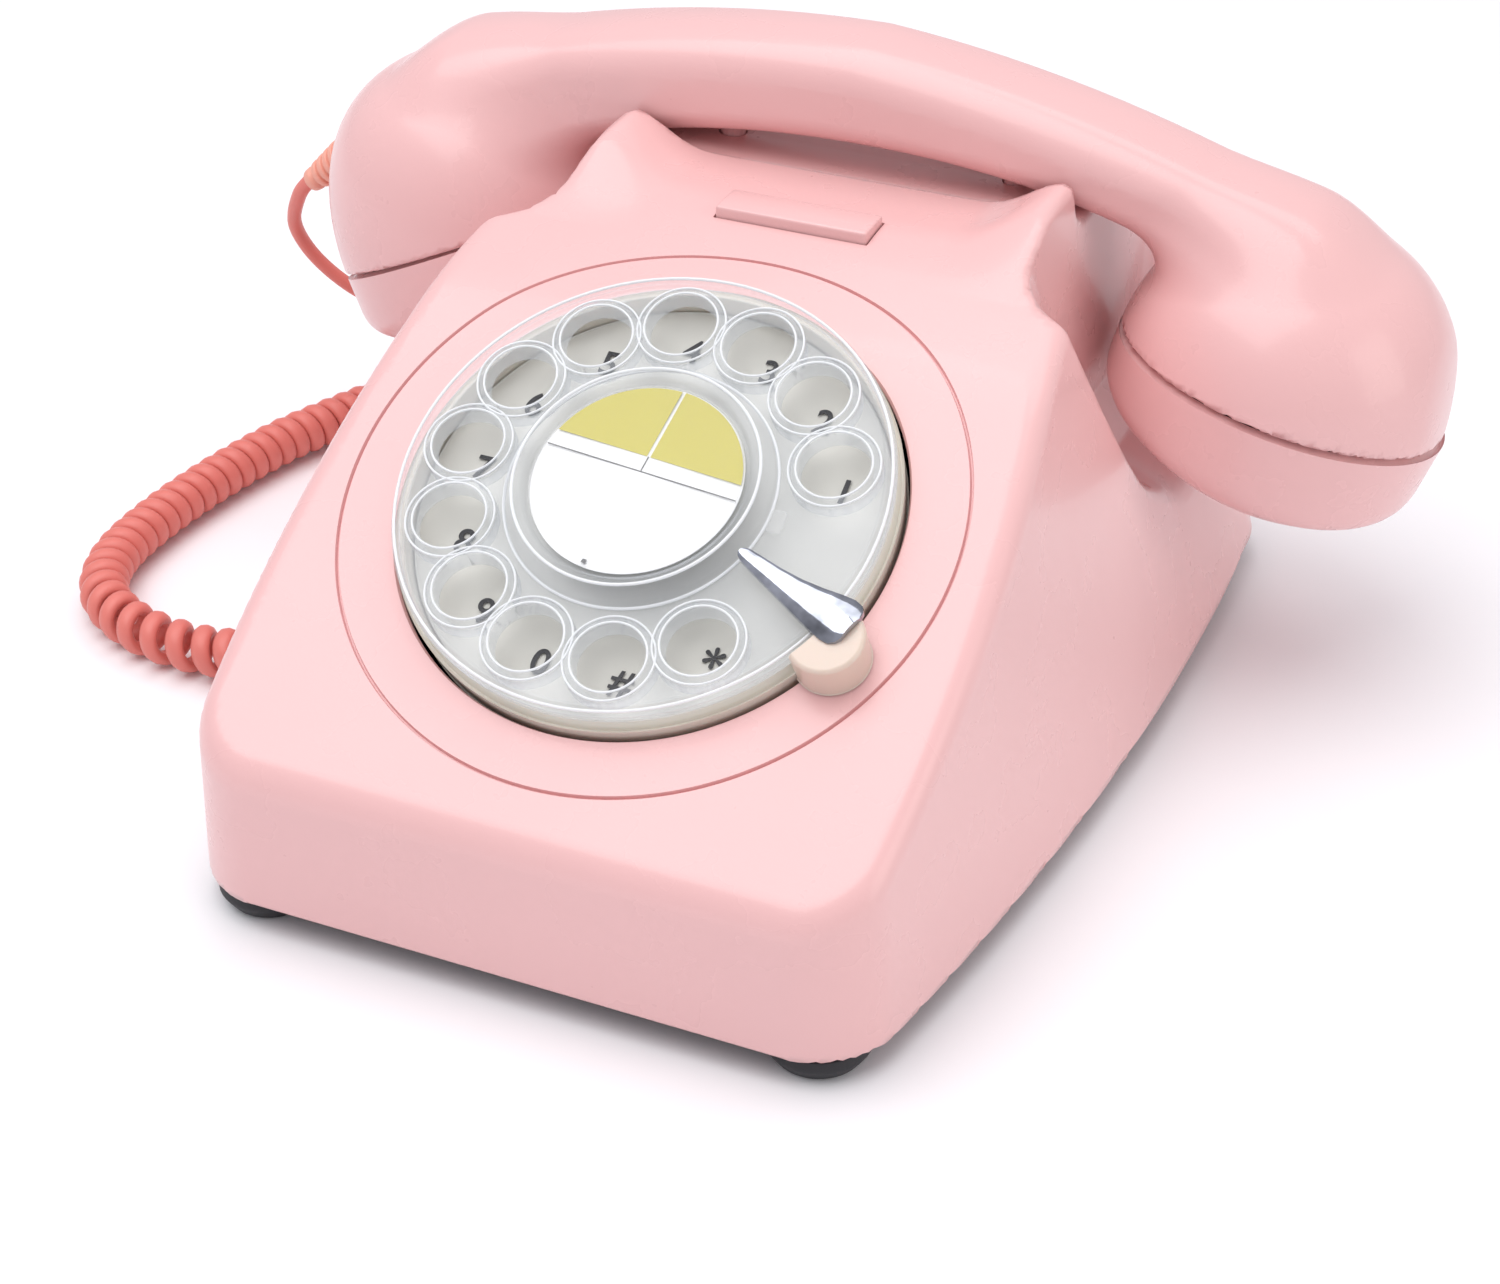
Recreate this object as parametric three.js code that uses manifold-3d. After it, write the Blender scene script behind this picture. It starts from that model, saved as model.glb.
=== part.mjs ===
// Rotary desk telephone with a sloping face, a twelve-hole dial and a handset on a four-horn cradle.
// Millimetres, +Z up, +X to the right of someone facing the dial.
// Y is measured from the front face of the case, and the whole group is moved back at the end so that
// its origin is at the middle of its footprint.

import * as THREE from 'three';
import { mergeVertices } from 'three/addons/utils/BufferGeometryUtils.js';
import Module from 'manifold-3d';

const wasm = await Module();
wasm.setup();

// ---------------------------------------------------------------- driving dimensions

const gap = 0.3; // clearance between pieces that touch

// case
const caseDepth = 214;
const caseBottom = 5.5; // height of the lower rim above the table
const caseHalfWidth = 78.2; // at the lower rim, where it is widest
const widestY = 145;
const sideArcRadius = 709; // curve of the sides in plan
const leanFront = 0.03; // inward lean of the sides at the front, mm per mm of height
const leanRate = 0.0018; // how much the lean grows for each mm of depth
const leanEndY = 150;
const rearLean = 0.09;
const frontCornerRadius = 13;
const rearCornerRadius = 22;
const wall = 2.6;
const apronTop = 34.2;
const apronEdge = 5; // length of the soft edge between apron and face
const faceAngle = 28.9; // degrees from level
const deckFrontY = 112; // where the face turns over into the cradle deck
const deckZ = 94;
const hornTop = 100;
const hornFrontY = 131;
const handleY = 163; // middle of the cradle, and of the handset
const troughHalf = 13.6; // half of the front-to-back width of the handle trough
const troughFloor = 91.6;
const valleyHalf = 25; // half-width of the deck between the horns
const valleyTopHalf = 45;
const scoopFlatHalf = 17.5; // half of a scoop's front-to-back width at its lower end
const scoopBottom = 32;
const scoopFlare = 0.61; // how fast it widens upwards
const scoopTopX = 46; // its inner wall at the horns
const cavityTop = 80;
const caseCut = 110; // height that clears everything above the case

// dial
const wheelRadius = 44.7;
const dialRadius = wheelRadius + 1.1; // opening in the case
const dialUp = 67.8; // from the apron edge to the dial's middle, along the face
const holeCount = 12;
const holeCircle = 33.9;
const holeRadius = 6.35;
const holeStart = 20.6; // degrees of the first hole from the right
const holePitch = 26.25;
const wheelLow = 3.4; // underside of the wheel above the face
const wheelThick = 2.8;
const hubRadius = 23.4;
const hubHeight = 4.4;
const labelSunk = 2.2; // depth of the label's seat below the hub's rim
const labelRadius = 19;
const labelThick = 0.5;
const capThick = 1;
const plateRadius = wheelRadius - 1.9;
const plateThick = 1;
const spindleRadius = 4;
const canRadius = wheelRadius - 1.7;
const canDepth = 23;
const canWall = 1.2;
const gearTeeth = 48;
const pinionTeeth = 8;
const pinionClear = 2.6; // keeps the pinion's teeth clear of the gear, because it doesn't turn
const gearModule = 1.1;
const gearThick = 2.4;
const stopAngle = -22; // degrees from the right
const stopInner = 25;
const stopAbove = 2.2; // height of the finger stop's blade above the wheel
const lobeRadius = 7;
const lobeAt = wheelRadius + 2.3;

// cradle
const plungerRadius = 2.6;
const plungerX = 30;
const keyWidth = 30.4;
const keyDepth = 8.6;
const keyY = 125.6;
const keyProud = 1.3;
const keyTravel = 1.2;

// handset
const handsetHalf = 118.5; // half of its overall length
const handleTop = 118;
const handleThick = 20.5;
const handleWidth = 26;
const handleRoot = 8; // how much deeper the handle is where it meets a cup
const handleArc = 282; // radius of the handle's upper line
const cupRadius = 33;
const cupTilt = 19; // degrees that the caps face inwards
const cupAbove = 36; // from a cap's seam to the top of its cup
const seamZ = 59; // height of a cap's seam at the cup's axis
const capHeight = 13.5;
const capWall = 2.2;
const cupWall = 2.4;

// feet, base and fasteners
const footRadius = 9.5;
const footX = 53;
const footFrontY = 11;
const footRearY = 196;
const baseThick = 2;
const baseInset = wall + 0.6; // keeps the plate clear of the inside of the wall
const ballastThick = 3.2;

// cord
const coilRadius = 5.25;
const leadRadius = 1.7;
const jackY = 68;
const jackZ = 13;

// ---------------------------------------------------------------- materials

function finish(color, roughness, metalness = 0, opacity = 1) {
  return new THREE.MeshStandardMaterial({
    color,
    roughness,
    metalness,
    opacity,
    transparent: opacity < 1,
  });
}

const pink = finish(0xf3cdcf, 0.28);
const coralPink = finish(0xe58f88, 0.45);
const cream = finish(0xded7c8, 0.35);
const plateGrey = finish(0xc4c7c3, 0.5);
const clear = finish(0xe8eeee, 0.08, 0, 0.35);
const cardWhite = finish(0xf4f4ef, 0.6);
const chrome = finish(0xd8dadc, 0.1, 1);
const steel = finish(0x9a9da0, 0.4, 1);
const brass = finish(0xb79a55, 0.35, 1);
const nylon = finish(0xe6e3d6, 0.5);
const black = finish(0x17171b, 0.7);
const blackPlastic = finish(0x222326, 0.45);
const boardGreen = finish(0x2d6b4a, 0.5);
const copper = finish(0xa2583a, 0.45, 1);

// ---------------------------------------------------------------- solid helpers

function toSolid(geometry) {
  const bare = geometry.index ? geometry.toNonIndexed() : geometry.clone();
  bare.deleteAttribute('normal');
  bare.deleteAttribute('uv');
  const merged = mergeVertices(bare, 1e-4);
  return new wasm.Manifold(
    new wasm.Mesh({
      numProp: 3,
      vertProperties: new Float32Array(merged.attributes.position.array),
      triVerts: new Uint32Array(merged.index.array),
    }),
  );
}

function toGeometry(solid) {
  const mesh = solid.getMesh();
  const geometry = new THREE.BufferGeometry();
  geometry.setAttribute('position', new THREE.BufferAttribute(mesh.vertProperties, 3));
  geometry.setIndex(new THREE.BufferAttribute(mesh.triVerts, 1));
  return geometry;
}

function cut(geometry, ...tools) {
  let solid = toSolid(geometry);
  for (const tool of tools) solid = solid.subtract(toSolid(tool));
  return toGeometry(solid);
}

function join(geometry, ...others) {
  let solid = toSolid(geometry);
  for (const other of others) solid = solid.add(toSolid(other));
  return toGeometry(solid);
}

function common(geometry, other) {
  return toGeometry(toSolid(geometry).intersect(toSolid(other)));
}

function polygon(points) {
  return new THREE.Shape(points.map(([x, y]) => new THREE.Vector2(x, y)));
}

function extrude(shape, depth, curveSegments = 6) {
  return new THREE.ExtrudeGeometry(shape, { depth, bevelEnabled: false, curveSegments });
}

// A prism whose outline is drawn in Y and Z, from x0 to x1.
function prismX(shape, x0, x1) {
  const basis = new THREE.Matrix4().set(0, 0, 1, x0, 1, 0, 0, 0, 0, 1, 0, 0, 0, 0, 0, 1);
  return extrude(shape, x1 - x0).applyMatrix4(basis);
}

// A prism whose outline is drawn in X and Z, from y0 to y1.
function prismY(shape, y0, y1) {
  const basis = new THREE.Matrix4().set(1, 0, 0, 0, 0, 0, -1, y1, 0, 1, 0, 0, 0, 0, 0, 1);
  return extrude(shape, y1 - y0).applyMatrix4(basis);
}

function box(x0, x1, y0, y1, z0, z1) {
  const geometry = new THREE.BoxGeometry(x1 - x0, y1 - y0, z1 - z0);
  return geometry.translate((x0 + x1) / 2, (y0 + y1) / 2, (z0 + z1) / 2);
}

// A solid of revolution about +Z from [radius, height] pairs that start and end on the axis.
function lathe(points, segments = 32) {
  const profile = points.map(([r, z]) => new THREE.Vector2(r, z));
  return new THREE.LatheGeometry(profile, segments).rotateX(Math.PI / 2);
}

function disc(radius, z0, z1, segments = 32) {
  return lathe([[0, z0], [radius, z0], [radius, z1], [0, z1]], segments);
}

function ring(inner, outer, z0, z1, segments = 32) {
  return lathe([[inner, z0], [outer, z0], [outer, z1], [inner, z1], [inner, z0]], segments);
}

// A tube along a smooth curve through the given points.
function tube(points, radius, sides, steps) {
  const path = new THREE.CatmullRomCurve3(points.map((p) => new THREE.Vector3(...p)), false, 'centripetal');
  const section = new THREE.Shape();
  for (let i = 0; i < sides; i += 1) {
    const a = (2 * Math.PI * i) / sides;
    if (i === 0) section.moveTo(radius, 0);
    else section.lineTo(radius * Math.cos(a), radius * Math.sin(a));
  }
  section.closePath();
  return new THREE.ExtrudeGeometry(section, { steps, extrudePath: path, bevelEnabled: false });
}

const degrees = Math.PI / 180;
const phone = new THREE.Group();

function place(parent, name, geometry, material) {
  const mesh = new THREE.Mesh(geometry, material);
  mesh.name = name;
  parent.add(mesh);
  return mesh;
}

// ---------------------------------------------------------------- case

const faceSlope = Math.tan(faceAngle * degrees);
const faceTopZ = apronTop + deckFrontY * faceSlope;

function sideX(y, z) {
  const lean = leanFront + leanRate * Math.min(y, leanEndY);
  const curve = (y - widestY) ** 2 / (2 * sideArcRadius);
  return caseHalfWidth - curve - lean * (z - caseBottom);
}

// The plan outline at one height, drawn inwards by inset, as points from front left round to the rear.
function outline(z, inset) {
  const rearY = caseDepth - rearLean * (z - caseBottom) - inset;
  const half = [];
  const turn = (radius, centreY, from) => {
    const r = radius - inset;
    const x = sideX(centreY, z) - inset - r;
    for (let i = 0; i <= 4; i += 1) {
      const a = (from + (90 * i) / 4) * degrees;
      half.push([x + r * Math.cos(a), centreY + r * Math.sin(a)]);
    }
  };
  turn(frontCornerRadius, frontCornerRadius, -90);
  const sideSteps = 7;
  const sideStart = frontCornerRadius;
  const sideEnd = rearY + inset - rearCornerRadius;
  for (let i = 1; i < sideSteps; i += 1) {
    const y = sideStart + ((sideEnd - sideStart) * i) / sideSteps;
    half.push([sideX(y, z) - inset, y]);
  }
  turn(rearCornerRadius, sideEnd, 0);
  const mirrored = half.map(([x, y]) => [-x, y]).reverse();
  return [...half, ...mirrored];
}

// The body between two heights, with straight lines from the lower outline to the upper one.
function loft(z0, z1, inset) {
  const low = outline(z0, inset);
  const high = outline(z1, inset);
  const n = low.length;
  const positions = [];
  for (const [x, y] of low) positions.push(x, y, z0);
  for (const [x, y] of high) positions.push(x, y, z1);
  positions.push(0, caseDepth / 2, z0, 0, caseDepth / 2, z1);
  const index = [];
  for (let i = 0; i < n; i += 1) {
    const j = (i + 1) % n;
    index.push(i, j, n + j, i, n + j, n + i);
    index.push(2 * n, j, i, 2 * n + 1, n + i, n + j);
  }
  const geometry = new THREE.BufferGeometry();
  geometry.setAttribute('position', new THREE.Float32BufferAttribute(positions, 3));
  geometry.setIndex(index);
  return geometry;
}

// The side view of the case, from the apron over the face and the horns to the rear.
function sideView(z0, drop) {
  const faceFront = drop / Math.cos(faceAngle * degrees);
  const shape = new THREE.Shape();
  shape.moveTo(-wall, z0);
  shape.lineTo(-wall, apronTop - apronEdge - faceFront);
  shape.lineTo(0, apronTop - apronEdge - faceFront);
  shape.quadraticCurveTo(0, apronTop - faceFront, apronEdge, apronTop + apronEdge * faceSlope - faceFront);
  shape.lineTo(deckFrontY, faceTopZ - faceFront);
  shape.lineTo(hornFrontY, hornTop - drop);
  shape.lineTo(2 * handleY - hornFrontY, hornTop - drop);
  shape.lineTo(caseDepth, deckZ - drop - 12);
  shape.lineTo(caseDepth + wall, z0);
  shape.closePath();
  return shape;
}

// The hollow beside the cradle that clears one end of the handset. grow widens it on every side.
function scoop(side, grow) {
  const low = scoopBottom - grow;
  const half = scoopFlatHalf + grow * 1.15;
  const spread = (caseCut - low) * scoopFlare;
  const cheeks = polygon([
    [handleY - half, low],
    [handleY + half, low],
    [handleY + half + spread, caseCut],
    [handleY - half - spread, caseCut],
  ]);
  const inner = polygon([
    [scoopTopX - grow, caseCut],
    [scoopTopX - grow, hornTop - 2],
    [scoopTopX + 2.5 - grow, 77],
    [scoopTopX + 5 - grow, 56 - grow],
    [scoopTopX + 10 - grow, 46 - grow],
    [scoopTopX + 26 - grow, low],
    [2 * caseHalfWidth, low],
    [2 * caseHalfWidth, caseCut],
  ]);
  const solid = common(prismX(cheeks, 0, 2 * caseHalfWidth), prismY(inner, 0, caseDepth * 2));
  if (side > 0) return solid;
  return flip(solid);
}

// The mirror image of a geometry across the middle plane, with its faces still pointing out.
function flip(geometry) {
  const mirrored = geometry.clone().scale(-1, 1, 1).toNonIndexed();
  const p = mirrored.attributes.position;
  for (let i = 0; i < p.count; i += 3) {
    const a = [p.getX(i), p.getY(i), p.getZ(i)];
    p.setXYZ(i, p.getX(i + 1), p.getY(i + 1), p.getZ(i + 1));
    p.setXYZ(i + 1, ...a);
  }
  return mirrored;
}

// The cut between the horns of the two sides, and the trough across it for the handle.
const valley = prismY(
  polygon([
    [-valleyHalf, deckZ],
    [valleyHalf, deckZ],
    [valleyTopHalf, caseCut],
    [-valleyTopHalf, caseCut],
  ]),
  0,
  caseDepth * 2,
);
const trough = prismX(
  polygon([
    [handleY - troughHalf + 1, troughFloor],
    [handleY + troughHalf - 1, troughFloor],
    [handleY + troughHalf, deckZ - 1],
    [handleY + troughHalf + 0.6, caseCut],
    [handleY - troughHalf - 0.6, caseCut],
    [handleY - troughHalf, deckZ - 1],
  ]),
  -2 * caseHalfWidth,
  2 * caseHalfWidth,
);

// The frame of the dial: its Z is the face's normal and its Y runs up the face.
const dialY = dialUp * Math.cos(faceAngle * degrees);
const dialZ = apronTop + dialUp * Math.sin(faceAngle * degrees);

function onFace(geometry) {
  return geometry.rotateX(faceAngle * degrees).translate(0, dialY, dialZ);
}

const jackHalfY = 6.5;
const jackHalfZ = 6;
const jackX = -sideX(jackY, jackZ);
const lineJackX = 40;
const lineJackZ = 18;
const plungerHole = disc(plungerRadius + gap, cavityTop - 1, deckZ, 16);

const caseOuter = common(loft(caseBottom, caseCut, 0), prismX(sideView(0, 0), -caseHalfWidth, caseHalfWidth));
const cavityRaw = common(
  loft(0, cavityTop, wall),
  prismX(sideView(-1, wall), -caseHalfWidth, caseHalfWidth),
);
const cavity = cut(cavityRaw, scoop(1, wall), scoop(-1, wall));
const keyPocket = box(
  -keyWidth / 2 - gap,
  keyWidth / 2 + gap,
  keyY - keyDepth / 2 - gap,
  keyY + keyDepth / 2 + gap,
  deckZ - 4,
  deckZ + 1,
);
const caseShell = cut(
  caseOuter,
  valley,
  trough,
  scoop(1, 0),
  scoop(-1, 0),
  cavity,
  onFace(disc(dialRadius, -30, 10, 48)),
  plungerHole.clone().translate(-plungerX, handleY, 0),
  plungerHole.clone().translate(plungerX, handleY, 0),
  keyPocket,
  box(
    jackX - 10, jackX + 8,
    jackY - jackHalfY - gap, jackY + jackHalfY + gap,
    jackZ - jackHalfZ - gap, jackZ + jackHalfZ + gap,
  ),
  box(lineJackX - 8, lineJackX + 8, caseDepth - 12, caseDepth + 8, lineJackZ - 7, lineJackZ + 7),
);
place(phone, 'case_shell', caseShell, pink);

// ---------------------------------------------------------------- base, feet and weights

const baseBottom = caseBottom;
const baseTop = baseBottom + baseThick;
const floorPlate = loft(baseBottom, baseTop, baseInset);
const screwX = 0;
const screwRadius = 3.4;
place(phone, 'base_plate', floorPlate, blackPlastic);

function foot(name, x, y) {
  const profile = [
    [0, 0],
    [footRadius - 2.5, 0],
    [footRadius - 0.5, 1.2],
    [footRadius, 3],
    [footRadius - 0.6, baseBottom - gap],
    [0, baseBottom - gap],
  ];
  place(phone, name, lathe(profile, 20).translate(x, y, 0), black);
}
foot('foot_front_left', -footX, footFrontY);
foot('foot_front_right', footX, footFrontY);
foot('foot_rear_left', -footX, footRearY);
foot('foot_rear_right', footX, footRearY);

for (const [name, y] of [['base_screw_front', footFrontY], ['base_screw_rear', footRearY]]) {
  const head = disc(screwRadius, baseBottom - gap - 1.8, baseBottom - gap, 12);
  place(phone, name, head.translate(screwX, y, 0), steel);
}
const ballastTop = baseTop + gap + ballastThick;
place(phone, 'ballast_plate', box(-50, 50, 150, 190, baseTop + gap, ballastTop), steel);

// ---------------------------------------------------------------- line parts on the base

const boardZ = 13;
const boardTop = boardZ + 1.6;
place(phone, 'main_board', box(-46, 46, 18, 62, boardZ, boardTop), boardGreen);
const partsTop = boardTop + 8;
place(phone, 'line_transformer', box(-38, -22, 20, 31, boardTop + gap, partsTop), steel);
const capacitor = disc(5, boardTop + gap, partsTop, 16);
place(phone, 'ringer_capacitor', capacitor.translate(26, 26, 0), blackPlastic);
for (const [name, x] of [['board_post_left', -40], ['board_post_right', 40]]) {
  place(phone, name, disc(3, baseTop + gap, boardZ - gap, 12).translate(x, 40, 0), nylon);
}

function socket(x0, x1, y0, y1, z0, z1, mouth) {
  return cut(box(x0, x1, y0, y1, z0, z1), mouth);
}
const plugHalfY = 3.8;
const plugHalfZ = 3.3;
const plugIn = 9;
const jackBack = 15;
place(
  phone,
  'handset_jack',
  socket(
    jackX + 0.8, jackX + jackBack,
    jackY - jackHalfY, jackY + jackHalfY,
    jackZ - jackHalfZ + 1, jackZ + jackHalfZ,
    box(
      jackX - 2, jackX + plugIn + 1,
      jackY - plugHalfY - gap, jackY + plugHalfY + gap,
      jackZ - plugHalfZ - gap, jackZ + plugHalfZ + gap,
    ),
  ),
  blackPlastic,
);
const lineJackRear = caseDepth - rearLean * (lineJackZ - caseBottom) - 1.5;
place(
  phone,
  'line_jack',
  socket(
    lineJackX - 7.5, lineJackX + 7.5,
    lineJackRear - 14, lineJackRear,
    lineJackZ - 6.5, lineJackZ + 6.5,
    box(lineJackX - 5, lineJackX + 5, lineJackRear - 10, lineJackRear + 3, lineJackZ - 3.6, lineJackZ + 3.6),
  ),
  blackPlastic,
);

// ---------------------------------------------------------------- bell

const gongRadius = 20;
const gongZ = 33;
const gongX = 26;
const gongY = 172;
const gongWall = 1.4;
function gong(name, x) {
  const profile = [
    [0, gongZ + 6.4],
    [gongRadius * 0.6 - 0.8, gongZ + 5.5],
    [gongRadius - 3, gongZ + 1],
    [gongRadius - gongWall, gongZ - 5],
    [gongRadius, gongZ - 5],
    [gongRadius - 1.5, gongZ + 2],
    [gongRadius * 0.6, gongZ + 7],
    [0, gongZ + 8],
  ];
  place(phone, name, lathe(profile, 24).translate(x, gongY, 0), brass);
}
gong('gong_left', -gongX);
gong('gong_right', gongX);
const bracketZ = ballastTop + gap;
place(phone, 'bell_bracket', box(-44, 44, gongY - 22, gongY + 14, bracketZ, bracketZ + 1.5), steel);
for (const [name, x] of [['gong_post_left', -gongX], ['gong_post_right', gongX]]) {
  const post = disc(3, bracketZ + 1.5 + gap, gongZ + 6.4 - gap - 0.2, 12);
  place(phone, name, post.translate(x, gongY, 0), steel);
}
const coilTop = bracketZ + 14;
place(phone, 'bell_coil', box(-9, 9, gongY - 40, gongY - 24, bracketZ, coilTop), copper);
const clapperZ = gongZ - 3;
const clapperPivotY = gongY - 32;
const clapperArm = box(-1, 1, clapperPivotY, gongY - 6, clapperZ - 0.8, clapperZ + 0.8);
const clapperHead = disc(3.4, clapperZ - 3, clapperZ + 3, 12).translate(0, gongY - 5, 0);
place(phone, 'bell_clapper', join(clapperArm, clapperHead), steel);
const clapperPin = disc(1.4, coilTop + gap, clapperZ - 0.8 - gap, 10);
place(phone, 'clapper_pin', clapperPin.translate(0, clapperPivotY + 1, 0), steel);

// ---------------------------------------------------------------- hook

const barTop = 62;
const hookBar = box(-plungerX - 5, plungerX + 5, handleY - 4, handleY + 4, barTop - 3, barTop);
place(phone, 'hook_bar', hookBar, nylon);
const underArc = (x) => handleTop - handleThick - x ** 2 / (2 * (handleArc - handleThick));
for (const [name, x] of [['hook_plunger_left', -plungerX], ['hook_plunger_right', plungerX]]) {
  const top = underArc(plungerX) - gap - 0.5;
  place(phone, name, disc(plungerRadius, barTop + gap, top, 14).translate(x, handleY, 0), pink);
}
const switchBox = box(-7, 7, handleY - 5, handleY + 5, barTop - 14, barTop - 3 - gap);
place(phone, 'hook_switch', switchBox, blackPlastic);

const keyTop = deckZ + keyProud;
const keyGeometry = box(
  -keyWidth / 2,
  keyWidth / 2,
  keyY - keyDepth / 2,
  keyY + keyDepth / 2,
  deckZ - 4 + keyTravel + gap,
  keyTop,
);
place(phone, 'cradle_key', keyGeometry, pink);

// ---------------------------------------------------------------- dial

const dial = new THREE.Group();
dial.position.set(0, dialY, dialZ);
dial.rotation.x = faceAngle * degrees;
phone.add(dial);

function onCircle(geometry, radius, angle) {
  return geometry.translate(radius * Math.cos(angle * degrees), radius * Math.sin(angle * degrees), 0);
}

const skirtRadius = dialRadius - 0.5;
const skirtLow = -4.6;
const skirtFloor = -2.8;
const skirtRim = wheelLow - 0.5;
const skirtDish = lathe(
  [
    [9, skirtLow], [skirtRadius, skirtLow], [skirtRadius, skirtRim], [plateRadius + gap, skirtRim],
    [plateRadius + gap, skirtFloor], [9, skirtFloor], [9, skirtLow],
  ],
  48,
);
const wheelTop = wheelLow + wheelThick;
const stopLow = wheelTop + stopAbove;
const lobe = onCircle(disc(lobeRadius, gap, stopLow - gap, 20), lobeAt, stopAngle - 4);
const lobeClear = disc(wheelRadius + 0.6, skirtRim, stopLow + 1, 48);
const plateClear = disc(plateRadius + gap, skirtFloor, stopLow + 1, 48);
place(dial, 'dial_skirt', join(skirtDish, cut(lobe, lobeClear, plateClear)), cream);

const plateLow = skirtFloor + gap;
place(dial, 'number_plate', ring(7, plateRadius, plateLow, plateLow + plateThick, 48), plateGrey);

const hubTop = wheelTop + hubHeight;
const labelSeat = hubTop - labelSunk;
const wheelBody = lathe(
  [
    [0, wheelLow], [wheelRadius, wheelLow], [wheelRadius, wheelLow + 1.2], [wheelRadius - 2.2, wheelTop],
    [hubRadius + 0.6, wheelTop], [hubRadius - 1.6, hubTop], [labelRadius + 1, hubTop],
    [labelRadius + 1, labelSeat], [0, labelSeat],
  ],
  48,
);
const holes = [];
for (let i = 0; i < holeCount; i += 1) {
  const hole = disc(holeRadius, wheelLow - 1, wheelTop + 1, 14);
  holes.push(onCircle(hole, holeCircle, holeStart + holePitch * i));
}
place(dial, 'finger_wheel', cut(wheelBody, ...holes), clear);

const labelLow = labelSeat + gap;
place(dial, 'label_card', disc(labelRadius, labelLow, labelLow + labelThick, 32), cardWhite);
const capLow = labelLow + labelThick + gap;
place(dial, 'label_cap', disc(labelRadius, capLow, capLow + capThick, 32), clear);
const catchBox = box(-1.6, 1.6, -2.6, 2.6, wheelTop + gap, wheelTop + gap + 1.6);
place(dial, 'label_catch', onCircle(catchBox, hubRadius + 3.2, -3), clear);

// the finger stop lies on the skirt's lobe and reaches in over the wheel
const stopOuter = lobeAt + 2;
const bladeHalf = 5;
const tipHalf = 0.8;
const bladeOutline = [
  [stopInner, -tipHalf],
  [stopOuter - 1, -bladeHalf],
  [stopOuter, 1.5 - bladeHalf],
  [stopOuter, bladeHalf - 1.5],
  [stopOuter - 1, bladeHalf],
  [stopInner, tipHalf],
];
const blade = extrude(polygon(bladeOutline), 1.2).translate(0, 0, stopLow);
place(dial, 'finger_stop', blade.rotateZ(stopAngle * degrees), chrome);

// mechanism behind the face
const canTop = skirtLow - gap - wall;
const canGeometry = cut(
  disc(canRadius, canTop - canDepth, canTop, 32),
  disc(canRadius - canWall, canTop - canDepth + canWall, canTop - canWall, 32),
  disc(spindleRadius + gap, canTop - 3, canTop + 3, 16),
);
place(dial, 'dial_can', canGeometry, steel);
place(dial, 'dial_bracket', ring(9, dialRadius - 1, canTop + gap, skirtLow - gap, 40), steel);

const spindleLow = canTop - canDepth + canWall + gap;
place(dial, 'dial_spindle', disc(spindleRadius, spindleLow, wheelLow - gap, 16), steel);

// A flat gear with straight-sided teeth, thinned so that meshed teeth have play.
function gear(teeth, bore, thickness) {
  const pitchRadius = (teeth * gearModule) / 2;
  const step = (2 * Math.PI) / teeth;
  const points = [];
  const tooth = [[-0.25, -1.25], [-0.13, 0.85], [0.13, 0.85], [0.25, -1.25]];
  for (let i = 0; i < teeth; i += 1) {
    for (const [share, height] of tooth) {
      const a = (i + share * 0.8) * step;
      const r = pitchRadius + height * gearModule;
      points.push([r * Math.cos(a), r * Math.sin(a)]);
    }
  }
  const shape = polygon(points);
  const hole = new THREE.Path();
  hole.absarc(0, 0, bore, 0, 2 * Math.PI, true);
  shape.holes.push(hole);
  return extrude(shape, thickness, 8);
}

const gearPitch = (gearTeeth * gearModule) / 2;
const pinionPitch = (pinionTeeth * gearModule) / 2;
const gearZ = canTop - 9;
place(dial, 'main_gear', gear(gearTeeth, spindleRadius + gap, gearThick).translate(0, 0, gearZ), brass);
const governorX = gearPitch + pinionPitch + pinionClear;
const governor = gear(pinionTeeth, 1.9, gearThick).rotateZ(Math.PI / pinionTeeth);
place(dial, 'governor_pinion', governor.translate(-governorX, 0, gearZ), nylon);
const shaft = disc(1.6, spindleLow, gearZ + gearThick + 2, 10);
place(dial, 'governor_shaft', shaft.translate(-governorX, 0, 0), steel);
place(dial, 'encoder_disc', ring(spindleRadius + gap, 17, canTop - 14, canTop - 13.2, 32), black);
place(dial, 'pulse_switch', box(12, 22, -6, 6, canTop - 21, canTop - 14.6), blackPlastic);

// a flat coil spring round the spindle
function spiral(inner, outer, turns, thickness, height) {
  const steps = turns * 14;
  const out = [];
  const back = [];
  for (let i = 0; i <= steps; i += 1) {
    const a = (2 * Math.PI * turns * i) / steps;
    const r = inner + ((outer - inner) * i) / steps;
    out.push([(r + thickness / 2) * Math.cos(a), (r + thickness / 2) * Math.sin(a)]);
    back.push([(r - thickness / 2) * Math.cos(a), (r - thickness / 2) * Math.sin(a)]);
  }
  return extrude(polygon([...out, ...back.reverse()]), height);
}
place(dial, 'return_spring', spiral(7, 22, 3, 0.7, 3).translate(0, 0, canTop - 5), steel);

// ---------------------------------------------------------------- handset

const cupX = handsetHalf - cupRadius - 0.3;
const tilt = cupTilt * degrees;

// Puts a piece that is built about a vertical axis, with the cap's seam at z = 0, on one end.
function onCup(geometry, side) {
  return geometry.rotateY(side * tilt).translate(side * cupX, handleY, seamZ);
}

const arcTop = (x) => handleTop - x ** 2 / (2 * handleArc);

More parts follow.
